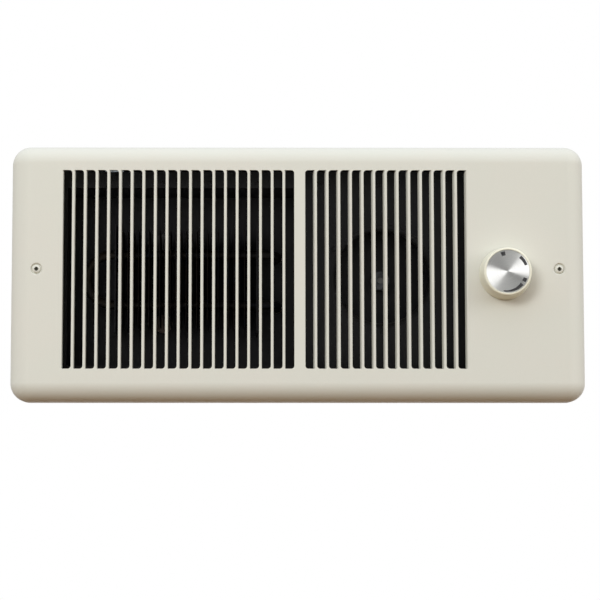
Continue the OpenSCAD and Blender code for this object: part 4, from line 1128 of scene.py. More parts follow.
@dataclass(frozen=True)
class Slot:
    """One slot of the grille: where its tab hinges, where its free side is, and which way the tab leans."""

    hinge_x: float
    free_x: float
    bend_degrees: float

    @property
    def side(self) -> float:
        """Direction from the hinge to the free side, 1 to the right and -1 to the left."""
        return math.copysign(1.0, self.free_x - self.hinge_x)


@dataclass
class FrontCover(Piece):
    """Cover drawn from one steel sheet: rolled edges, slots with tabs, two dimples, the knob's hole."""

    name: str = "front_cover_skin"
    slot: str = "enamelled_steel"
    stands_for: tuple[str, ...] = ("front_cover",)
    edge_r: float = 16.0
    roll_steps: int = 14
    sheet_t: float = 0.9
    slot_pitch: float = 9.9
    slot_cut: float = 8.8
    slot_h: float = 169.0
    slot_r: float = 2.6
    slot_corner_steps: int = 5
    outlet_slots: int = 20
    intake_slots: int = 14
    outlet_x: float = -200.05
    intake_x: float = 6.15
    slot_rise: float = 2.7
    tab_bend_r: float = 1.2
    tab_leg: float = 5.8
    bend_steps: int = 4
    outlet_bend: float = 90.0
    intake_bend: float = 82.0
    dimple_rings: tuple[Pair, ...] = (
        (5.3, 0.0), (5.05, 0.16), (4.75, 0.6), (4.35, 1.3), (4.1, 1.54), (3.8, 1.6), (2.2, 1.6))
    dimple_margin: float = 1.0
    screw_head_r: float = 3.5
    knob_hole_r: float = 7.0
    edge_round: float = 0.24
    edge_round_steps: int = 2
    edge_round_angle: float = 40.0

    def slots(self) -> list[Slot]:
        """Lists the grille's slots from left to right.

        Returns:
            The outlet bank, then the intake bank.
        """
        listed: list[Slot] = []
        for count, first_x, bend, hinge_left in (
                (self.outlet_slots, self.outlet_x, self.outlet_bend, True),
                (self.intake_slots, self.intake_x, self.intake_bend, False)):
            for i in range(count):
                left = first_x + i * self.slot_pitch
                right = left + self.slot_cut
                listed.append(Slot(left, right, bend) if hinge_left else Slot(right, left, bend))
        return listed

    def shell(self, bm: BMesh) -> BMFace:
        """Makes the drawn tray: a block open to the wall, its front and upright edges rolled.

        Args:
            bm: The mesh to build in.

        Returns:
            The flat face.
        """
        low, high = node_box("front_cover")
        plate(bm, low, high)
        bm.normal_update()
        open_side = [face for face in bm.faces if face.normal.y > FACING]
        bmesh.ops.delete(bm, geom=open_side, context="FACES")
        front = low.y + self.sheet_t
        rolled = [edge for edge in bm.edges if min(vert.co.y for vert in edge.verts) < front]
        rounded(bm, rolled, self.edge_r, self.roll_steps)
        bm.normal_update()
        return max((face for face in bm.faces if face.normal.y < -FLAT), key=lambda face: face.calc_area())

    def open_slots(self, bm: BMesh, flat: BMFace, face_y: float) -> None:
        """Cuts the slots and bends their tabs back.

        Args:
            bm: The mesh.
            flat: The flat face.
            face_y: Its place along Y.
        """
        half = self.slot_h / 2.0
        pieces = [flat]
        for z in (self.slot_rise - half, self.slot_rise + half):
            pieces = cut(bm, pieces, (0.0, 0.0, z), Axis.UP.value)
        rest = nearest(pieces, Vector((0.0, face_y, self.slot_rise)))
        bars: list[BMFace] = []
        slivers: list[list[BMFace]] = []
        wells: list[BMFace] = []
        for slot in self.slots():
            for x in sorted((slot.hinge_x, slot.free_x)):
                left, right = sorted(cut(bm, [rest], (x, 0.0, 0.0), Axis.RIGHT.value),
                                     key=lambda face: face.calc_center_bounds().x)
                bars.append(left)
                rest = right
            well, scraps = self.round_corners(bm, bars.pop(), slot, half)
            wells.append(well)
            slivers.append(scraps)
        bars.append(rest)
        self.join_scraps(bm, bars, slivers)
        bmesh.ops.delete(bm, geom=wells, context="FACES_ONLY")
        for slot in self.slots():
            self.bend_tab(bm, slot, face_y)

    def round_corners(self, bm: BMesh, well: BMFace, slot: Slot,
                      half: float) -> tuple[BMFace, list[BMFace]]:
        """Rounds the two corners on a slot's free side.

        Args:
            bm: The mesh.
            well: The slot's face, which is still whole.
            slot: The slot.
            half: Half its height.

        Returns:
            The slot's rounded face, and the scraps outside its corners.
        """
        middle = Vector(((slot.hinge_x + slot.free_x) / 2.0, well.verts[0].co.y, self.slot_rise))
        scraps: list[BMFace] = []
        for up in (-1.0, 1.0):
            centre = (slot.free_x - slot.side * self.slot_r, self.slot_rise + up * (half - self.slot_r))
            points = [(centre[0] + slot.side * x, centre[1] + up * z)
                      for x, z in arc_points((0.0, 0.0), self.slot_r, 0.0, 90.0, self.slot_corner_steps)]
            for (x0, z0), (x1, z1) in zip(points, points[1:]):
                pieces = cut(bm, [well], (x0, 0.0, z0), (z1 - z0, 0.0, x0 - x1))
                well = nearest(pieces, middle)
                scraps += [face for face in pieces if face is not well]
        return well, scraps

    def join_scraps(self, bm: BMesh, bars: list[BMFace], slivers: list[list[BMFace]]) -> None:
        """Makes each bar one face with the corner scraps that touch it.

        Args:
            bm: The mesh.
            bars: The faces between the slots, one more than there are slots.
            slivers: The scraps of each slot.
        """
        sides = [slot.side for slot in self.slots()]
        for i, bar in enumerate(bars):
            own: list[BMFace] = []
            if i > 0 and sides[i - 1] > 0.0:
                own += slivers[i - 1]
            if i < len(sides) and sides[i] < 0.0:
                own += slivers[i]
            if own:
                bmesh.ops.dissolve_faces(bm, faces=[bar, *own], use_verts=False)

    def bend_tab(self, bm: BMesh, slot: Slot, face_y: float) -> None:
        """Bends one tab back from its hinge and rounds its free corners.

        Args:
            bm: The mesh.
            slot: The slot it was cut from.
            face_y: Place of the flat face along Y.
        """
        def on_hinge(edge: BMEdge) -> bool:
            """Tells whether an edge is open and part of this slot's hinge.

            Args:
                edge: The edge.

            Returns:
                True when it is.
            """
            return edge.is_boundary and all(
                abs(vert.co.x - slot.hinge_x) < TOUCH and abs(vert.co.y - face_y) < TOUCH
                for vert in edge.verts)

        hinge = [edge for edge in bm.edges if on_hinge(edge)]
        verts = list({vert for edge in hinge for vert in edge.verts})
        pivot = (slot.hinge_x, face_y + self.tab_bend_r, 0.0)
        bend = math.radians(slot.bend_degrees)
        last = bmesh.ops.spin(bm, geom=[*verts, *hinge], cent=pivot, axis=Axis.UP.value,
                              angle=slot.side * bend, steps=self.bend_steps)["geom_last"]
        leg = bmesh.ops.extrude_edge_only(bm, edges=[item for item in last if isinstance(item, BMEdge)])
        tip = new_of(leg, BMVert)
        run = Vector((slot.side * math.cos(bend), math.sin(bend), 0.0)) * self.tab_leg
        bmesh.ops.translate(bm, vec=run, verts=tip)
        rounded(bm, tip, self.slot_r, self.bend_steps, "VERTICES")

    def shape(self, bm: BMesh) -> None:
        """Builds the cover's skin, which has no thickness yet.

        Args:
            bm: The mesh to build in.
        """
        flat = self.shell(bm)
        face_y = flat.verts[0].co.y
        self.open_slots(bm, flat, face_y)
        screws_low, screws_high = node_box("cover_screws")
        screw_z = (screws_low.z + screws_high.z) / 2.0
        for x in (screws_low.x + self.screw_head_r, screws_high.x - self.screw_head_r):
            place = Vector((x, face_y, screw_z))
            punch(bm, place, Axis.ROOM.value, self.dimple_rings, self.dimple_margin)
        knob_low, knob_high = node_box("knob")
        knob_centre = (knob_low + knob_high) / 2.0
        place = Vector((knob_centre.x, face_y, knob_centre.z))
        punch(bm, place, Axis.ROOM.value, ((self.knob_hole_r, 0.0),))
        face_out(bm, Axis.ROOM.value)

    def refine(self, obj: Object) -> None:
        """Gives the skin its wall on the inner side, rounds its sharp edges and evens its shading.

        Args:
            obj: The cover.
        """
        wall = obj.modifiers.new("wall", "SOLIDIFY")
        wall.thickness = self.sheet_t * MM
        wall.offset = -1.0
        wall.use_even_offset = True
        rounding = obj.modifiers.new("rounding", "BEVEL")
        rounding.width = self.edge_round * MM
        rounding.segments = self.edge_round_steps
        rounding.limit_method = "ANGLE"
        rounding.angle_limit = math.radians(self.edge_round_angle)
        rounding.miter_outer = "MITER_ARC"
        shading = obj.modifiers.new("even_shading", "WEIGHTED_NORMAL")
        shading.keep_sharp = True


# ------------------------------------------------------------------ screws and knob


@dataclass
class CoverScrews(Piece):
    """Two pan-headed screws with a cross recess, painted as the cover, on their threaded shanks."""

    name: str = "cover_screws_painted"
    slot: str = "enamelled_steel"
    stands_for: tuple[str, ...] = ("cover_screws",)
    head_r: float = 3.5
    head_h: float = 2.2
    shank_r: float = 1.8
    thread_pitch: float = 0.7
    thread_depth: float = 0.22
    thread_start: float = 0.4
    thread_end: float = 1.0
    tip_share: float = 0.6
    neck_h: float = 0.35
    edge_r: float = 0.15
    dome_share: float = 0.65
    dome_steps: int = 8
    steps: int = 32
    recess_r: float = 1.95
    rim_land: float = 0.1
    lobe_slack: float = 1.0
    lobe_scale: float = 0.94
    waist_scale: float = 0.34
    floor_scale: float = 0.6
    recess_depth: float = 1.3

    def dome_height(self, rise: float) -> float:
        """Returns the height over the seat of a point whose share of the dome's rise is given."""
        return self.head_h * (1.0 - self.dome_share + self.dome_share * rise)

    def head_profile(self, seat_y: float, end_y: float) -> list[Pair]:
        """Lists the screw's outline from its tip to the rim of its recess.

        Args:
            seat_y: Place of the underside of the head.
            end_y: Place of the tip.

        Returns:
            Radius and height over the seat of each point.
        """
        length = end_y - seat_y
        thread = [(0.0, -length), (self.shank_r * self.tip_share, -length)]
        for i in range(int((length - self.thread_end) / self.thread_pitch)):
            low = -length + self.thread_start + i * self.thread_pitch
            crest = low + self.thread_pitch / 2.0
            thread += [(self.shank_r - self.thread_depth, low), (self.shank_r, crest)]
        turns = (math.radians(90.0 * i / self.dome_steps) for i in range(1, self.dome_steps))
        dome = [(self.head_r * math.cos(turn), self.dome_height(math.sin(turn))) for turn in turns]
        dome = [point for point in dome if point[0] > self.recess_r + self.rim_land]
        top = self.dome_height(math.sqrt(1.0 - (self.recess_r / self.head_r) ** 2))
        side = [(self.shank_r, -self.neck_h), (self.shank_r, 0.0), (self.head_r - self.edge_r, 0.0),
                (self.head_r, self.edge_r), (self.head_r, self.dome_height(0.0))]
        return [*thread, *side, *dome, (self.recess_r, top)]

    def recess(self, bm: BMesh, rim: list[BMEdge], centre: Vector) -> None:
        """Forms the cross from the open rim at the top of a head.

        Args:
            bm: The mesh.
            rim: The rim's edges.
            centre: A point on the screw's axis.
        """
        ring = bmesh.ops.extrude_edge_only(bm, edges=rim)
        verts = new_of(ring, BMVert)
        lobes = [vert for vert in verts if self.on_lobe(vert.co - centre)]
        waist = [vert for vert in verts if vert not in set(lobes)]
        for group, scale in ((lobes, self.lobe_scale), (waist, self.waist_scale)):
            bmesh.ops.scale(bm, vec=(scale, 1.0, scale), space=Matrix.Translation(-centre), verts=group)
        inside = set(verts)
        edges = [edge for edge in new_of(ring, BMEdge) if inside.issuperset(edge.verts)]
        floor = bmesh.ops.extrude_edge_only(bm, edges=edges)
        low = new_of(floor, BMVert)
        bmesh.ops.translate(bm, vec=Axis.WALL.value * self.recess_depth, verts=low)
        taper = (self.floor_scale, 1.0, self.floor_scale)
        bmesh.ops.scale(bm, vec=taper, space=Matrix.Translation(-centre), verts=low)
        bottom = set(low)
        cap_loop(bm, [edge for edge in new_of(floor, BMEdge) if bottom.issuperset(edge.verts)])

    def on_lobe(self, away: Vector) -> bool:
        """Tells whether a direction from the axis points along an arm of the cross."""
        turn = math.degrees(math.atan2(away.z, away.x)) % 90.0
        return min(turn, 90.0 - turn) < 360.0 / self.steps + self.lobe_slack

    def shape(self, bm: BMesh) -> None:
        """Builds both screws.

        Args:
            bm: The mesh to build in.
        """
        low, high = node_box("cover_screws")
        seat_y = low.y + self.head_h
        for x in (low.x + self.head_r, high.x - self.head_r):
            seat = Vector((x, seat_y, (low.z + high.z) / 2.0))
            before = set(bm.verts)
            spun(bm, self.head_profile(seat_y, high.y), seat, Axis.ROOM.value, self.steps)
            rim = [edge for edge in bm.edges if edge.is_boundary and edge.verts[0] not in before]
            self.recess(bm, rim, seat)
        bmesh.ops.recalc_face_normals(bm, faces=bm.faces)


@dataclass
class Knob(Piece):
    """Moulded shell of the knob, with its hub and ribs."""

    name: str = "knob_moulding"
    slot: str = "knob_plastic"
    stands_for: tuple[str, ...] = ("knob",)
    body: Body = Body.KNOB
    steps: int = 96
    wall: float = 2.0
    top_r: float = 20.2
    gap: float = 0.8
    shoulder_r: float = 1.6
    shoulder_steps: int = 8
    insert_r: float = 18.25
    insert_sink: float = 1.1
    hub_r: float = 5.5
    bore_r: float = 3.05
    rib_t: float = 1.4
    ribs: int = 3
    foot_round: float = 0.25
    skirt_round: Pair = (0.35, 0.4)
    lip: float = 0.15
    inner_round: float = 0.6
    hub_rise: float = 1.0
    hub_round: float = 0.4
    hub_root: float = 0.5
    hub_steps: int = 48
    bore_round: float = 0.3
    bore_end: float = 4.7
    rib_root: float = 1.0
    rib_rise: float = 4.0
    rib_round: float = 0.2

    def shape(self, bm: BMesh) -> None:
        """Builds the shell from the inside of its top round to its foot and up, then its hub and ribs.

        Args:
            bm: The mesh to build in.
        """
        low, high = node_box("knob")
        centre = Vector(((low.x + high.x) / 2.0, 0.0, (low.z + high.z) / 2.0))
        base_r = (high.x - low.x) / 2.0
        face_h, base_h = -low.y, self.gap - FRONT_Y
        seat_h = face_h - self.insert_sink
        roof_h = seat_h - self.wall
        inner_r = base_r - self.wall
        roof_r = self.top_r - self.wall
        skirt_in, skirt_up = self.skirt_round
        shoulder = arc_points((self.top_r - self.shoulder_r, face_h - self.shoulder_r), self.shoulder_r,
                              0.0, 90.0, self.shoulder_steps)
        outline = [
            (inner_r, base_h + self.foot_round), (inner_r + self.foot_round, base_h),
            (base_r - skirt_in, base_h), (base_r, base_h + skirt_up), *shoulder,
            (self.insert_r + self.lip, face_h), (self.insert_r, face_h - self.lip),
            (self.insert_r, seat_h), (0.0, seat_h)]
        inner = [(0.0, roof_h), (roof_r - self.inner_round, roof_h), (roof_r, roof_h - self.inner_round)]
        spun(bm, [*inner, *outline], centre, Axis.ROOM.value, self.steps)
        hub_end, root_h, bore_h = base_h - self.hub_rise, roof_h + self.hub_root, face_h - self.bore_end
        mouth = (self.bore_r, hub_end + self.bore_round)
        hub = [mouth, (self.bore_r + self.bore_round, hub_end), (self.hub_r - self.hub_round, hub_end),
               (self.hub_r, hub_end + self.hub_round), (self.hub_r, root_h), (0.0, root_h), (0.0, bore_h),
               (self.bore_r, bore_h), mouth]
        spun(bm, hub, centre, Axis.ROOM.value, self.hub_steps)
        for i in range(self.ribs):
            verts = plate(bm, (self.hub_r - self.rib_root, self.wall / 2.0 - seat_h, -self.rib_t / 2.0),
                          (self.top_r - self.wall / 2.0, -base_h - self.rib_rise, self.rib_t / 2.0),
                          self.rib_round)
            turn = Matrix.Rotation(-math.tau * i / self.ribs, 4, "Y")
            bmesh.ops.transform(bm, matrix=Matrix.Translation(centre) @ turn, verts=verts)
        bmesh.ops.recalc_face_normals(bm, faces=bm.faces)


@dataclass
class KnobInsert(Piece):
    """Spun aluminium disc set in the knob, with a polar map for its turning lines."""

    name: str = "knob_insert_spun"
    slot: str = "spun_aluminium"
    stands_for: tuple[str, ...] = ("knob_insert",)
    body: Body = Body.KNOB
    steps: int = 96
    rings: int = 12
    rim_round: float = 0.3
    rim_land: float = 0.5
    rim_steps: int = 4
    dish: float = 0.12

    def shape(self, bm: BMesh) -> None:
        """Builds the disc.

        Args:
            bm: The mesh to build in.
        """
        low, high = node_box("knob_insert")
        centre = (low + high) / 2.0
        radius = (high.x - low.x) / 2.0
        front, back = centre.y - low.y, centre.y - high.y
        flat_r = radius - self.rim_round - self.rim_land
        face = [(flat_r * i / self.rings, front - self.dish * (1.0 - (i / self.rings) ** 2))
                for i in range(self.rings + 1)]
        rim = arc_points((radius - self.rim_round, front - self.rim_round), self.rim_round, 90.0, 0.0,
                         self.rim_steps)
        spun(bm, [*face, *rim, (radius, back), (0.0, back)], centre, Axis.ROOM.value, self.steps)
        bmesh.ops.recalc_face_normals(bm, faces=bm.faces)
        self.map_polar(bm, centre, radius)

    def map_polar(self, bm: BMesh, centre: Vector, radius: float) -> None:
        """Writes each corner's turn and distance from the middle into the disc's map.

        Args:
            bm: The mesh.
            centre: Middle of the disc.
            radius: Its radius.
        """
        layer = bm.loops.layers.uv.new("Polar")
        for face in bm.faces:
            middle = face.calc_center_median() - centre
            around = math.atan2(middle.z, middle.x) / math.tau % 1.0
            for loop in face.loops:
                away = loop.vert.co - centre
                distance = math.hypot(away.x, away.z)
                turn = around if distance < TOUCH else math.atan2(away.z, away.x) / math.tau % 1.0
                turn += round(around - turn)
                loop[layer].uv = (turn, distance / radius)


@dataclass
class Pointer(Piece):
    """Black mark set in the disc, with a domed face."""

    name: str = "knob_pointer_mark"
    slot: str = "black_mark"
    stands_for: tuple[str, ...] = ("knob_pointer",)
    body: Body = Body.KNOB
    steps: int = 32
    dome: float = 0.25
    dome_steps: int = 4
    proud: float = 0.16

    def shape(self, bm: BMesh) -> None:
        """Builds the mark.

        Args:
            bm: The mesh to build in.
        """
        low, high = node_box("knob_pointer")
        centre = (low + high) / 2.0
        radius = (high.x - low.x) / 2.0
        front, back = centre.y - low.y + self.proud, centre.y - high.y
        dome = arc_points((radius - self.dome, front - self.dome), self.dome, 0.0, 90.0, self.dome_steps)
        spun(bm, [(0.0, back), (radius, back), *dome, (0.0, front)], centre, Axis.ROOM.value, self.steps)
        bmesh.ops.recalc_face_normals(bm, faces=bm.faces)


# ------------------------------------------------------------------ wall box and leads


@dataclass
class WallBox(Piece):
    """Top, back and bottom of the wall box, bent from one sheet, with the chassis's four lugs."""

    name: str = "wall_box_sheet"
    slot: str = "galvanised_steel"
    stands_for: tuple[str, ...] = ("wall_box",)
    sheet_t: float = 1.0
    bend_r: float = 1.8
    bend_steps: int = 4
    supply_x: float = 175.0
    supply_y: float = 62.0
    supply_r: float = 11.1
    knockout_z: float = 40.0
    knockout_ring: float = 0.8
    knockout_sink: float = 0.45
    slope_share: float = 0.25
    lug_x: float = 158.0
    lug_y: float = 6.0
    lug_w: float = 16.0
    lug_h: float = 12.0
    lug_round: float = 0.25

    def knockout(self, bm: BMesh, centre: Vector, normal: Vector) -> None:
        """Presses a knockout's ring into the sheet.

        Args:
            bm: The mesh.
            centre: Middle of the knockout, on the sheet.
            normal: The sheet's normal there.
        """
        inner_r = self.supply_r - self.knockout_ring
        slope = self.knockout_ring * self.slope_share
        cap_loop(bm, punch(bm, centre, normal, (
            (self.supply_r, 0.0), (self.supply_r - slope, self.knockout_sink),
            (inner_r + slope, self.knockout_sink), (inner_r, 0.0))))

    def shape(self, bm: BMesh) -> None:
        """Builds the sheet and the lugs.

        Args:
            bm: The mesh to build in.
        """
        low, high = node_box("wall_box")
        plate(bm, low, high)
        bm.normal_update()
        open_sides = [face for face in bm.faces if face.normal.y < -FACING or abs(face.normal.x) > FACING]
        bmesh.ops.delete(bm, geom=open_sides, context="FACES")
        rounded(bm, [edge for edge in bm.edges if len(edge.link_faces) == 2], self.bend_r, self.bend_steps)
        down = -Axis.UP.value
        punch(bm, Vector((self.supply_x, self.supply_y, low.z)), down, ((self.supply_r, 0.0),))
        for x in (0.0, -self.supply_x):
            self.knockout(bm, Vector((x, self.supply_y, low.z)), down)
        self.knockout(bm, Vector((self.supply_x, high.y, self.knockout_z)), Axis.WALL.value)
        thicken(bm, self.sheet_t, Axis.WALL.value)
        reach = high.z - self.sheet_t / 2.0
        for x in (-self.lug_x, self.lug_x):
            for way in (-1.0, 1.0):
                ends = sorted((way * reach, way * (reach - self.lug_h)))
                plate(bm, (x - self.lug_w / 2.0, self.lug_y, ends[0]),
                      (x + self.lug_w / 2.0, self.lug_y + self.sheet_t, ends[1]), self.lug_round)


@dataclass
class BoxEnds(Piece):
    """Both ends of the wall box: a plate with an ear bent out in front and three flanges bent in."""

    name: str = "wall_box_end_plates"
    slot: str = "galvanised_steel"
    stands_for: tuple[str, ...] = ("box_ends",)
    sheet_t: float = 1.0
    bend_r: float = 1.6
    bend_steps: int = 4
    flange: float = 8.0
    lug_room: float = 14.0
    ear_half: float = 73.0
    ear_split: float = 30.0
    relief: float = 2.0
    wall_screw: Pair = (218.0, 62.0)
    cover_screw_x: float = 221.0
    hole_r: float = 2.5
    hole_margin: float = 1.5
    hole_steps: int = 24
    stud_y: Pair = (20.0, 70.0)
    stud_z: float = 55.0

    def notched_plate(self, bm: BMesh, outer_x: float, back_y: float, half_z: float) -> None:
        """Makes the right end's flat sheet, with a relief notch at both ends of every fold.

        Args:
            bm: The mesh.
            outer_x: Place of its outer side.
            back_y: Place of its back edge.
            half_z: Half its height.
        """
        plate(bm, (outer_x - self.sheet_t, 0.0, -half_z), (outer_x, back_y, half_z))
        bm.normal_update()
        bmesh.ops.delete(bm, geom=[face for face in bm.faces if face.normal.x < FACING], context="FACES")
        flange_z = half_z - self.flange
        flange_y = back_y - self.flange
        for y in (self.relief, self.lug_room - self.relief, self.lug_room, flange_y, flange_y + self.relief,
                  back_y - self.relief):
            cut(bm, list(bm.faces), (0.0, y, 0.0), Axis.WALL.value)
        for z in (self.ear_half, self.ear_half + self.relief, flange_z, flange_z + self.relief,
                  half_z - self.relief):
            cut(bm, list(bm.faces), (0.0, 0.0, z), Axis.UP.value)
            cut(bm, list(bm.faces), (0.0, 0.0, -z), Axis.UP.value)

        def notched(face: BMFace) -> bool:
            """Tells whether a part of the sheet lies in a relief notch.

            Args:
                face: The part.

            Returns:
                True when it does.
            """
            middle = face.calc_center_bounds()
            y, z = middle.y, abs(middle.z)
            front = y < self.relief and self.ear_half < z < self.ear_half + self.relief
            back = y > back_y - self.relief and flange_z < z < flange_z + self.relief
            side = z > half_z - self.relief and (self.lug_room - self.relief < y < self.lug_room
                                                 or flange_y < y < flange_y + self.relief)
            return front or back or side

        bmesh.ops.delete(bm, geom=[face for face in bm.faces if notched(face)], context="FACES")

    def bend_out(self, bm: BMesh, low: Vector, high: Vector, way: Vector) -> list[BMVert]:
        """Bends a flange out of the sheet's edge.

        Args:
            bm: The mesh.
            low: Lowest corner of a box round the edges to bend.
            high: Its highest corner.
            way: Direction and length of the flange.

        Returns:
            The flange's end corners.
        """
        chosen = [edge for edge in bm.edges if edge.is_boundary and all(
            low[axis] - TOUCH < vert.co[axis] < high[axis] + TOUCH
            for vert in edge.verts for axis in range(3))]
        grown = new_of(bmesh.ops.extrude_edge_only(bm, edges=chosen), BMVert)
        bmesh.ops.translate(bm, vec=way, verts=grown)
        return grown

    def hole(self, bm: BMesh, centre: Vector, normal: Vector) -> None:
        """Punches one of the end's round holes."""
        punch(bm, centre, normal, ((self.hole_r, 0.0),), self.hole_margin, self.hole_steps)

    def shape(self, bm: BMesh) -> None:
        """Builds the right end, then its twin.

        Args:
            bm: The mesh to build in.
        """
        low, high = node_box("box_ends")
        posts_low, posts_high = node_box("cover_posts")
        outer_x = node_box("wall_box")[1].x + self.sheet_t
        back_y = high.y - self.sheet_t
        half_z = high.z - self.sheet_t
        self.notched_plate(bm, outer_x, back_y, half_z)
        inward = Vector((-self.sheet_t - self.flange, 0.0, 0.0))
        flange_z = half_z - self.flange
        flange_y = back_y - self.flange
        self.bend_out(bm, Vector((outer_x, back_y, -flange_z)), Vector((outer_x, back_y, flange_z)), inward)
        for z in (-half_z, half_z):
            self.bend_out(bm, Vector((outer_x, self.lug_room, z)), Vector((outer_x, flange_y, z)), inward)
        self.bend_out(bm, Vector((outer_x, 0.0, -self.ear_half)), Vector((outer_x, 0.0, self.ear_half)),
                      Axis.RIGHT.value * (high.x - outer_x))
        face_out(bm, Axis.RIGHT.value)
        folds = [edge for edge in bm.edges if len(edge.link_faces) == 2
                 and edge.link_faces[0].normal.dot(edge.link_faces[1].normal) < FACING]
        rounded(bm, folds, self.bend_r, self.bend_steps)
        for z in (-self.ear_split, self.ear_split):
            cut(bm, [face for face in bm.faces if face.normal.y > FLAT], (0.0, 0.0, z), Axis.UP.value)
        screw_x, screw_z = self.wall_screw
        post_z = (posts_low.z + posts_high.z) / 2.0
        for x, z in ((screw_x, -screw_z), (screw_x, screw_z), (self.cover_screw_x, post_z)):
            self.hole(bm, Vector((x, 0.0, z)), Axis.WALL.value)
        for y in self.stud_y:
            for z in (-self.stud_z, self.stud_z):
                self.hole(bm, Vector((outer_x, y, z)), Axis.RIGHT.value)
        thicken(bm, self.sheet_t, Axis.RIGHT.value)
        twin = bmesh.ops.duplicate(bm, geom=[*bm.verts, *bm.edges, *bm.faces])
        bmesh.ops.scale(bm, vec=(-1.0, 1.0, 1.0), verts=new_of(twin, BMVert))
        bmesh.ops.reverse_faces(bm, faces=new_of(twin, BMFace))


@dataclass
class Lead(Piece):
    """An insulated lead, smoothed along its path through the heater."""

    merge_mm: float = 0.001
    join_angle: float = 60.0
    levels: int = 1

    def shape(self, bm: BMesh) -> None:
        """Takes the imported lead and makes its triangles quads.

        Args:
            bm: The mesh to build in.
        """
        node = frame["nodes"][self.stands_for[0]]
        bm.from_mesh(node.data)
        bm.transform(node.matrix_world)
        bmesh.ops.scale(bm, vec=(1.0 / MM, 1.0 / MM, 1.0 / MM), verts=bm.verts)
        bmesh.ops.remove_doubles(bm, verts=bm.verts, dist=self.merge_mm)
        limit = math.radians(self.join_angle)
        bmesh.ops.join_triangles(bm, faces=bm.faces, angle_face_threshold=limit, angle_shape_threshold=limit)

    def refine(self, obj: Object) -> None:
        """Smooths the lead.

        Args:
            obj: The lead.
        """
        smoothing = obj.modifiers.new("smoothing", "SUBSURF")
        smoothing.levels = self.levels
        smoothing.render_levels = self.levels


# ------------------------------------------------------------------ studio


@dataclass(frozen=True)
class PhotoCamera:
    """Camera that stands where the photograph was taken, in millimetres and degrees."""

    x: float = -30.59
    distance: float = 1566.074
    tilt: float = 4.864
    yaw: float = 0.254
    lens: float = 111.652
    sensor: float = 36.0
    shift: Pair = (0.05, 0.08)
    aim_z: float = -64.334
    clip_end: float = 20.0

    def place(self) -> Object:
        """Creates the camera.

        Returns:
            The scene's camera.
        """
        tilt, yaw = math.radians(self.tilt), math.radians(self.yaw)
        data = bpy.data.cameras.new("photo_camera")
        data.lens = self.lens
        data.sensor_width = self.sensor
        data.sensor_fit = "HORIZONTAL"
        data.shift_x, data.shift_y = self.shift
        data.clip_end = self.clip_end
        camera = in_scene("photo_camera", data)
        forward = Vector((math.sin(yaw) * math.cos(tilt), math.cos(yaw) * math.cos(tilt), math.sin(tilt)))
        back, down = self.distance * math.cos(tilt), self.distance * math.sin(tilt)
        camera.location = Vector((self.x, FRONT_Y - back, self.aim_z - down)) * MM
        camera.rotation_euler = forward.to_track_quat("-Z", "Y").to_euler()
        bpy.context.scene.camera = camera
        log.info("camera at %s", tuple(round(part, 3) for part in camera.location))
        return camera


@dataclass(frozen=True)
class Softbox:
    """A soft lamp, in metres and watts, aimed at the heater."""

    name: str
    place: Triple
    size: Pair
    power: float

    def hang(self) -> None:
        """Creates the lamp."""
        data = bpy.data.lights.new(self.name, "AREA")
        data.shape = "RECTANGLE"
        data.size, data.size_y = self.size
        data.energy = self.power
        lamp = in_scene(self.name, data)
        lamp.location = self.place
        lamp.rotation_euler = (-Vector(self.place)).to_track_quat("-Z", "Y").to_euler()
        lamp.visible_glossy = False


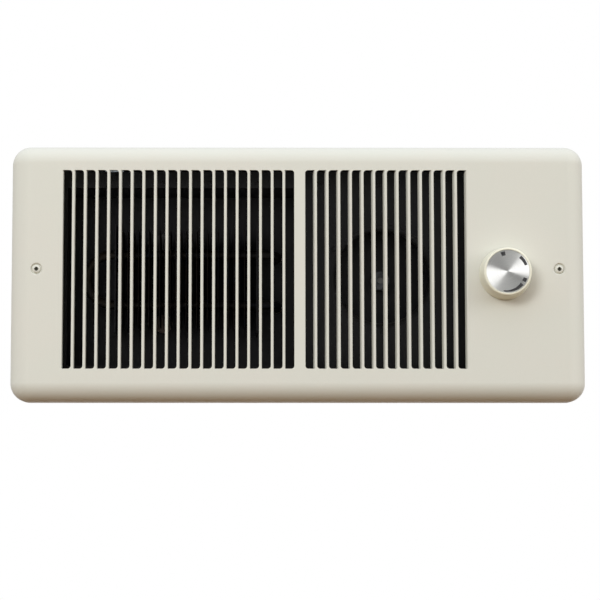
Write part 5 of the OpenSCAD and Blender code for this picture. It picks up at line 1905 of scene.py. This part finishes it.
@dataclass(frozen=True)
class Studio:
    """Pale floor, soft light from above and in front, and a surround that metal mirrors in wedges.

    The ranges are of parts of a ray's direction, from where one look ends to where the next is whole.
    """

    floor_z: float = -0.62
    floor_size: float = 8.0
    floor_roughness: float = 0.8
    floor_seen: Colour = srgb(244, 243, 240)
    floor_bounce: Colour = srgb(112, 78, 24)
    seen: Colour = (1.0, 1.0, 1.0)
    sky: Colour = (0.96, 1.0, 1.1)
    ground: Colour = (0.22, 0.12, 0.0)
    horizon_range: Pair = (-0.12, 0.34)
    metal_axis: Triple = (0.956, 0.0, 0.292)
    metal_middle: Triple = (0.131, 0.0, 0.125)
    metal_plain: Colour = (0.75, 0.76, 0.78)
    metal_dark: Colour = (0.01, 0.008, 0.0)
    metal_bright: Colour = (1.75, 1.76, 1.85)
    wedge_range: Pair = (0.78, 0.92)
    wall_range: Pair = (-0.35, 0.0)
    softboxes: tuple[Softbox, ...] = (
        Softbox("key_softbox", (-0.8, -1.85, 0.65), (0.8, 0.6), 19.8),
        Softbox("side_softbox", (1.75, -0.7, 0.45), (0.6, 0.9), 10.0),
    )

    def floor(self) -> Object:
        """Lays the floor: pale to the camera, and a darker tan in what it throws back.

        Returns:
            The floor.
        """
        bm = bmesh.new()
        bmesh.ops.create_grid(bm, x_segments=2, y_segments=2, size=self.floor_size / 2.0,
                              matrix=Matrix.Translation((0.0, 0.0, self.floor_z)))
        made = bpy.data.materials.new("studio_floor")
        made.use_nodes = True
        graph = Graph(made.node_tree)
        path = graph.add("LightPath").outputs
        sharp = graph.maths("MAXIMUM", path["Is Glossy Ray"], path["Is Transmission Ray"])
        direct = graph.maths("MAXIMUM", path["Is Camera Ray"], sharp)
        graph.feed_all(made.node_tree.nodes["Principled BSDF"], {
            "Base Color": graph.mix(direct, self.floor_bounce, self.floor_seen),
            "Roughness": self.floor_roughness})
        floor = object_of(bm, "studio_floor", made)
        return floor

    def surround(self) -> None:
        """Makes the world: white to the camera, a soft sky over a warm ground in the light it gives."""
        world = bpy.data.worlds.new("studio_surround")
        world.use_nodes = True
        graph = Graph(world.node_tree)
        path = graph.add("LightPath").outputs
        ray = graph.add("TexCoord").outputs["Generated"]
        parts = graph.add("SeparateXYZ", None, {0: ray}).outputs
        light = graph.mix(graph.remap(parts["Z"], *self.horizon_range), self.ground, self.sky)
        away = ray
        for operation, value in (("SUBTRACT", self.metal_middle), ("MULTIPLY", (1.0, 0.0, 1.0))):
            away = graph.add("VectorMath", {"operation": operation}, {0: away, 1: value}).outputs["Vector"]
        turned = graph.add("VectorMath", {"operation": "NORMALIZE"}, {0: away}).outputs["Vector"]
        along = graph.add("VectorMath", {"operation": "DOT_PRODUCT"}, {0: turned, 1: self.metal_axis})
        aside = graph.remap(graph.maths("ABSOLUTE", along.outputs["Value"]), *self.wedge_range)
        wedges = graph.mix(aside, self.metal_dark, self.metal_bright)
        mirrored = graph.mix(graph.remap(parts["Y"], *self.wall_range), wedges, self.metal_plain)
        glossy = graph.mix(path["Is Glossy Ray"], light, mirrored)
        clear = graph.maths("MAXIMUM", path["Is Camera Ray"], path["Is Transmission Ray"])
        background = world.node_tree.nodes["Background"]
        graph.feed(background.inputs["Color"], graph.mix(clear, glossy, self.seen))
        bpy.context.scene.world = world

    def build(self) -> None:
        """Builds the whole studio."""
        bpy.context.scene.view_settings.view_transform = "Standard"
        self.floor()
        self.surround()
        for softbox in self.softboxes:
            softbox.hang()
        log.info("studio with %d softboxes", len(self.softboxes))


def main() -> None:
    """Builds the studio, then the heater from its cover inwards."""
    logging.basicConfig(level=logging.INFO, format="%(name)s: %(message)s")
    PhotoCamera().place()
    Studio().build()
    shop = Paintshop(FINISHES)
    leads = [Lead(f"{node}_insulation", slot_of(node), (node,))
             for node in ("thermostat_lead", "motor_lead", "element_lead", "return_lead")]
    pieces = [FrontCover(), CoverScrews(), Knob(), KnobInsert(), Pointer(), WallBox(), BoxEnds(), *leads]
    replaced = {node for piece in pieces for node in piece.stands_for}
    for piece in pieces:
        piece.build(shop)
    shop.dress_frame(name for name in frame["nodes"] if name not in replaced)


if __name__ == "__main__":
    main()
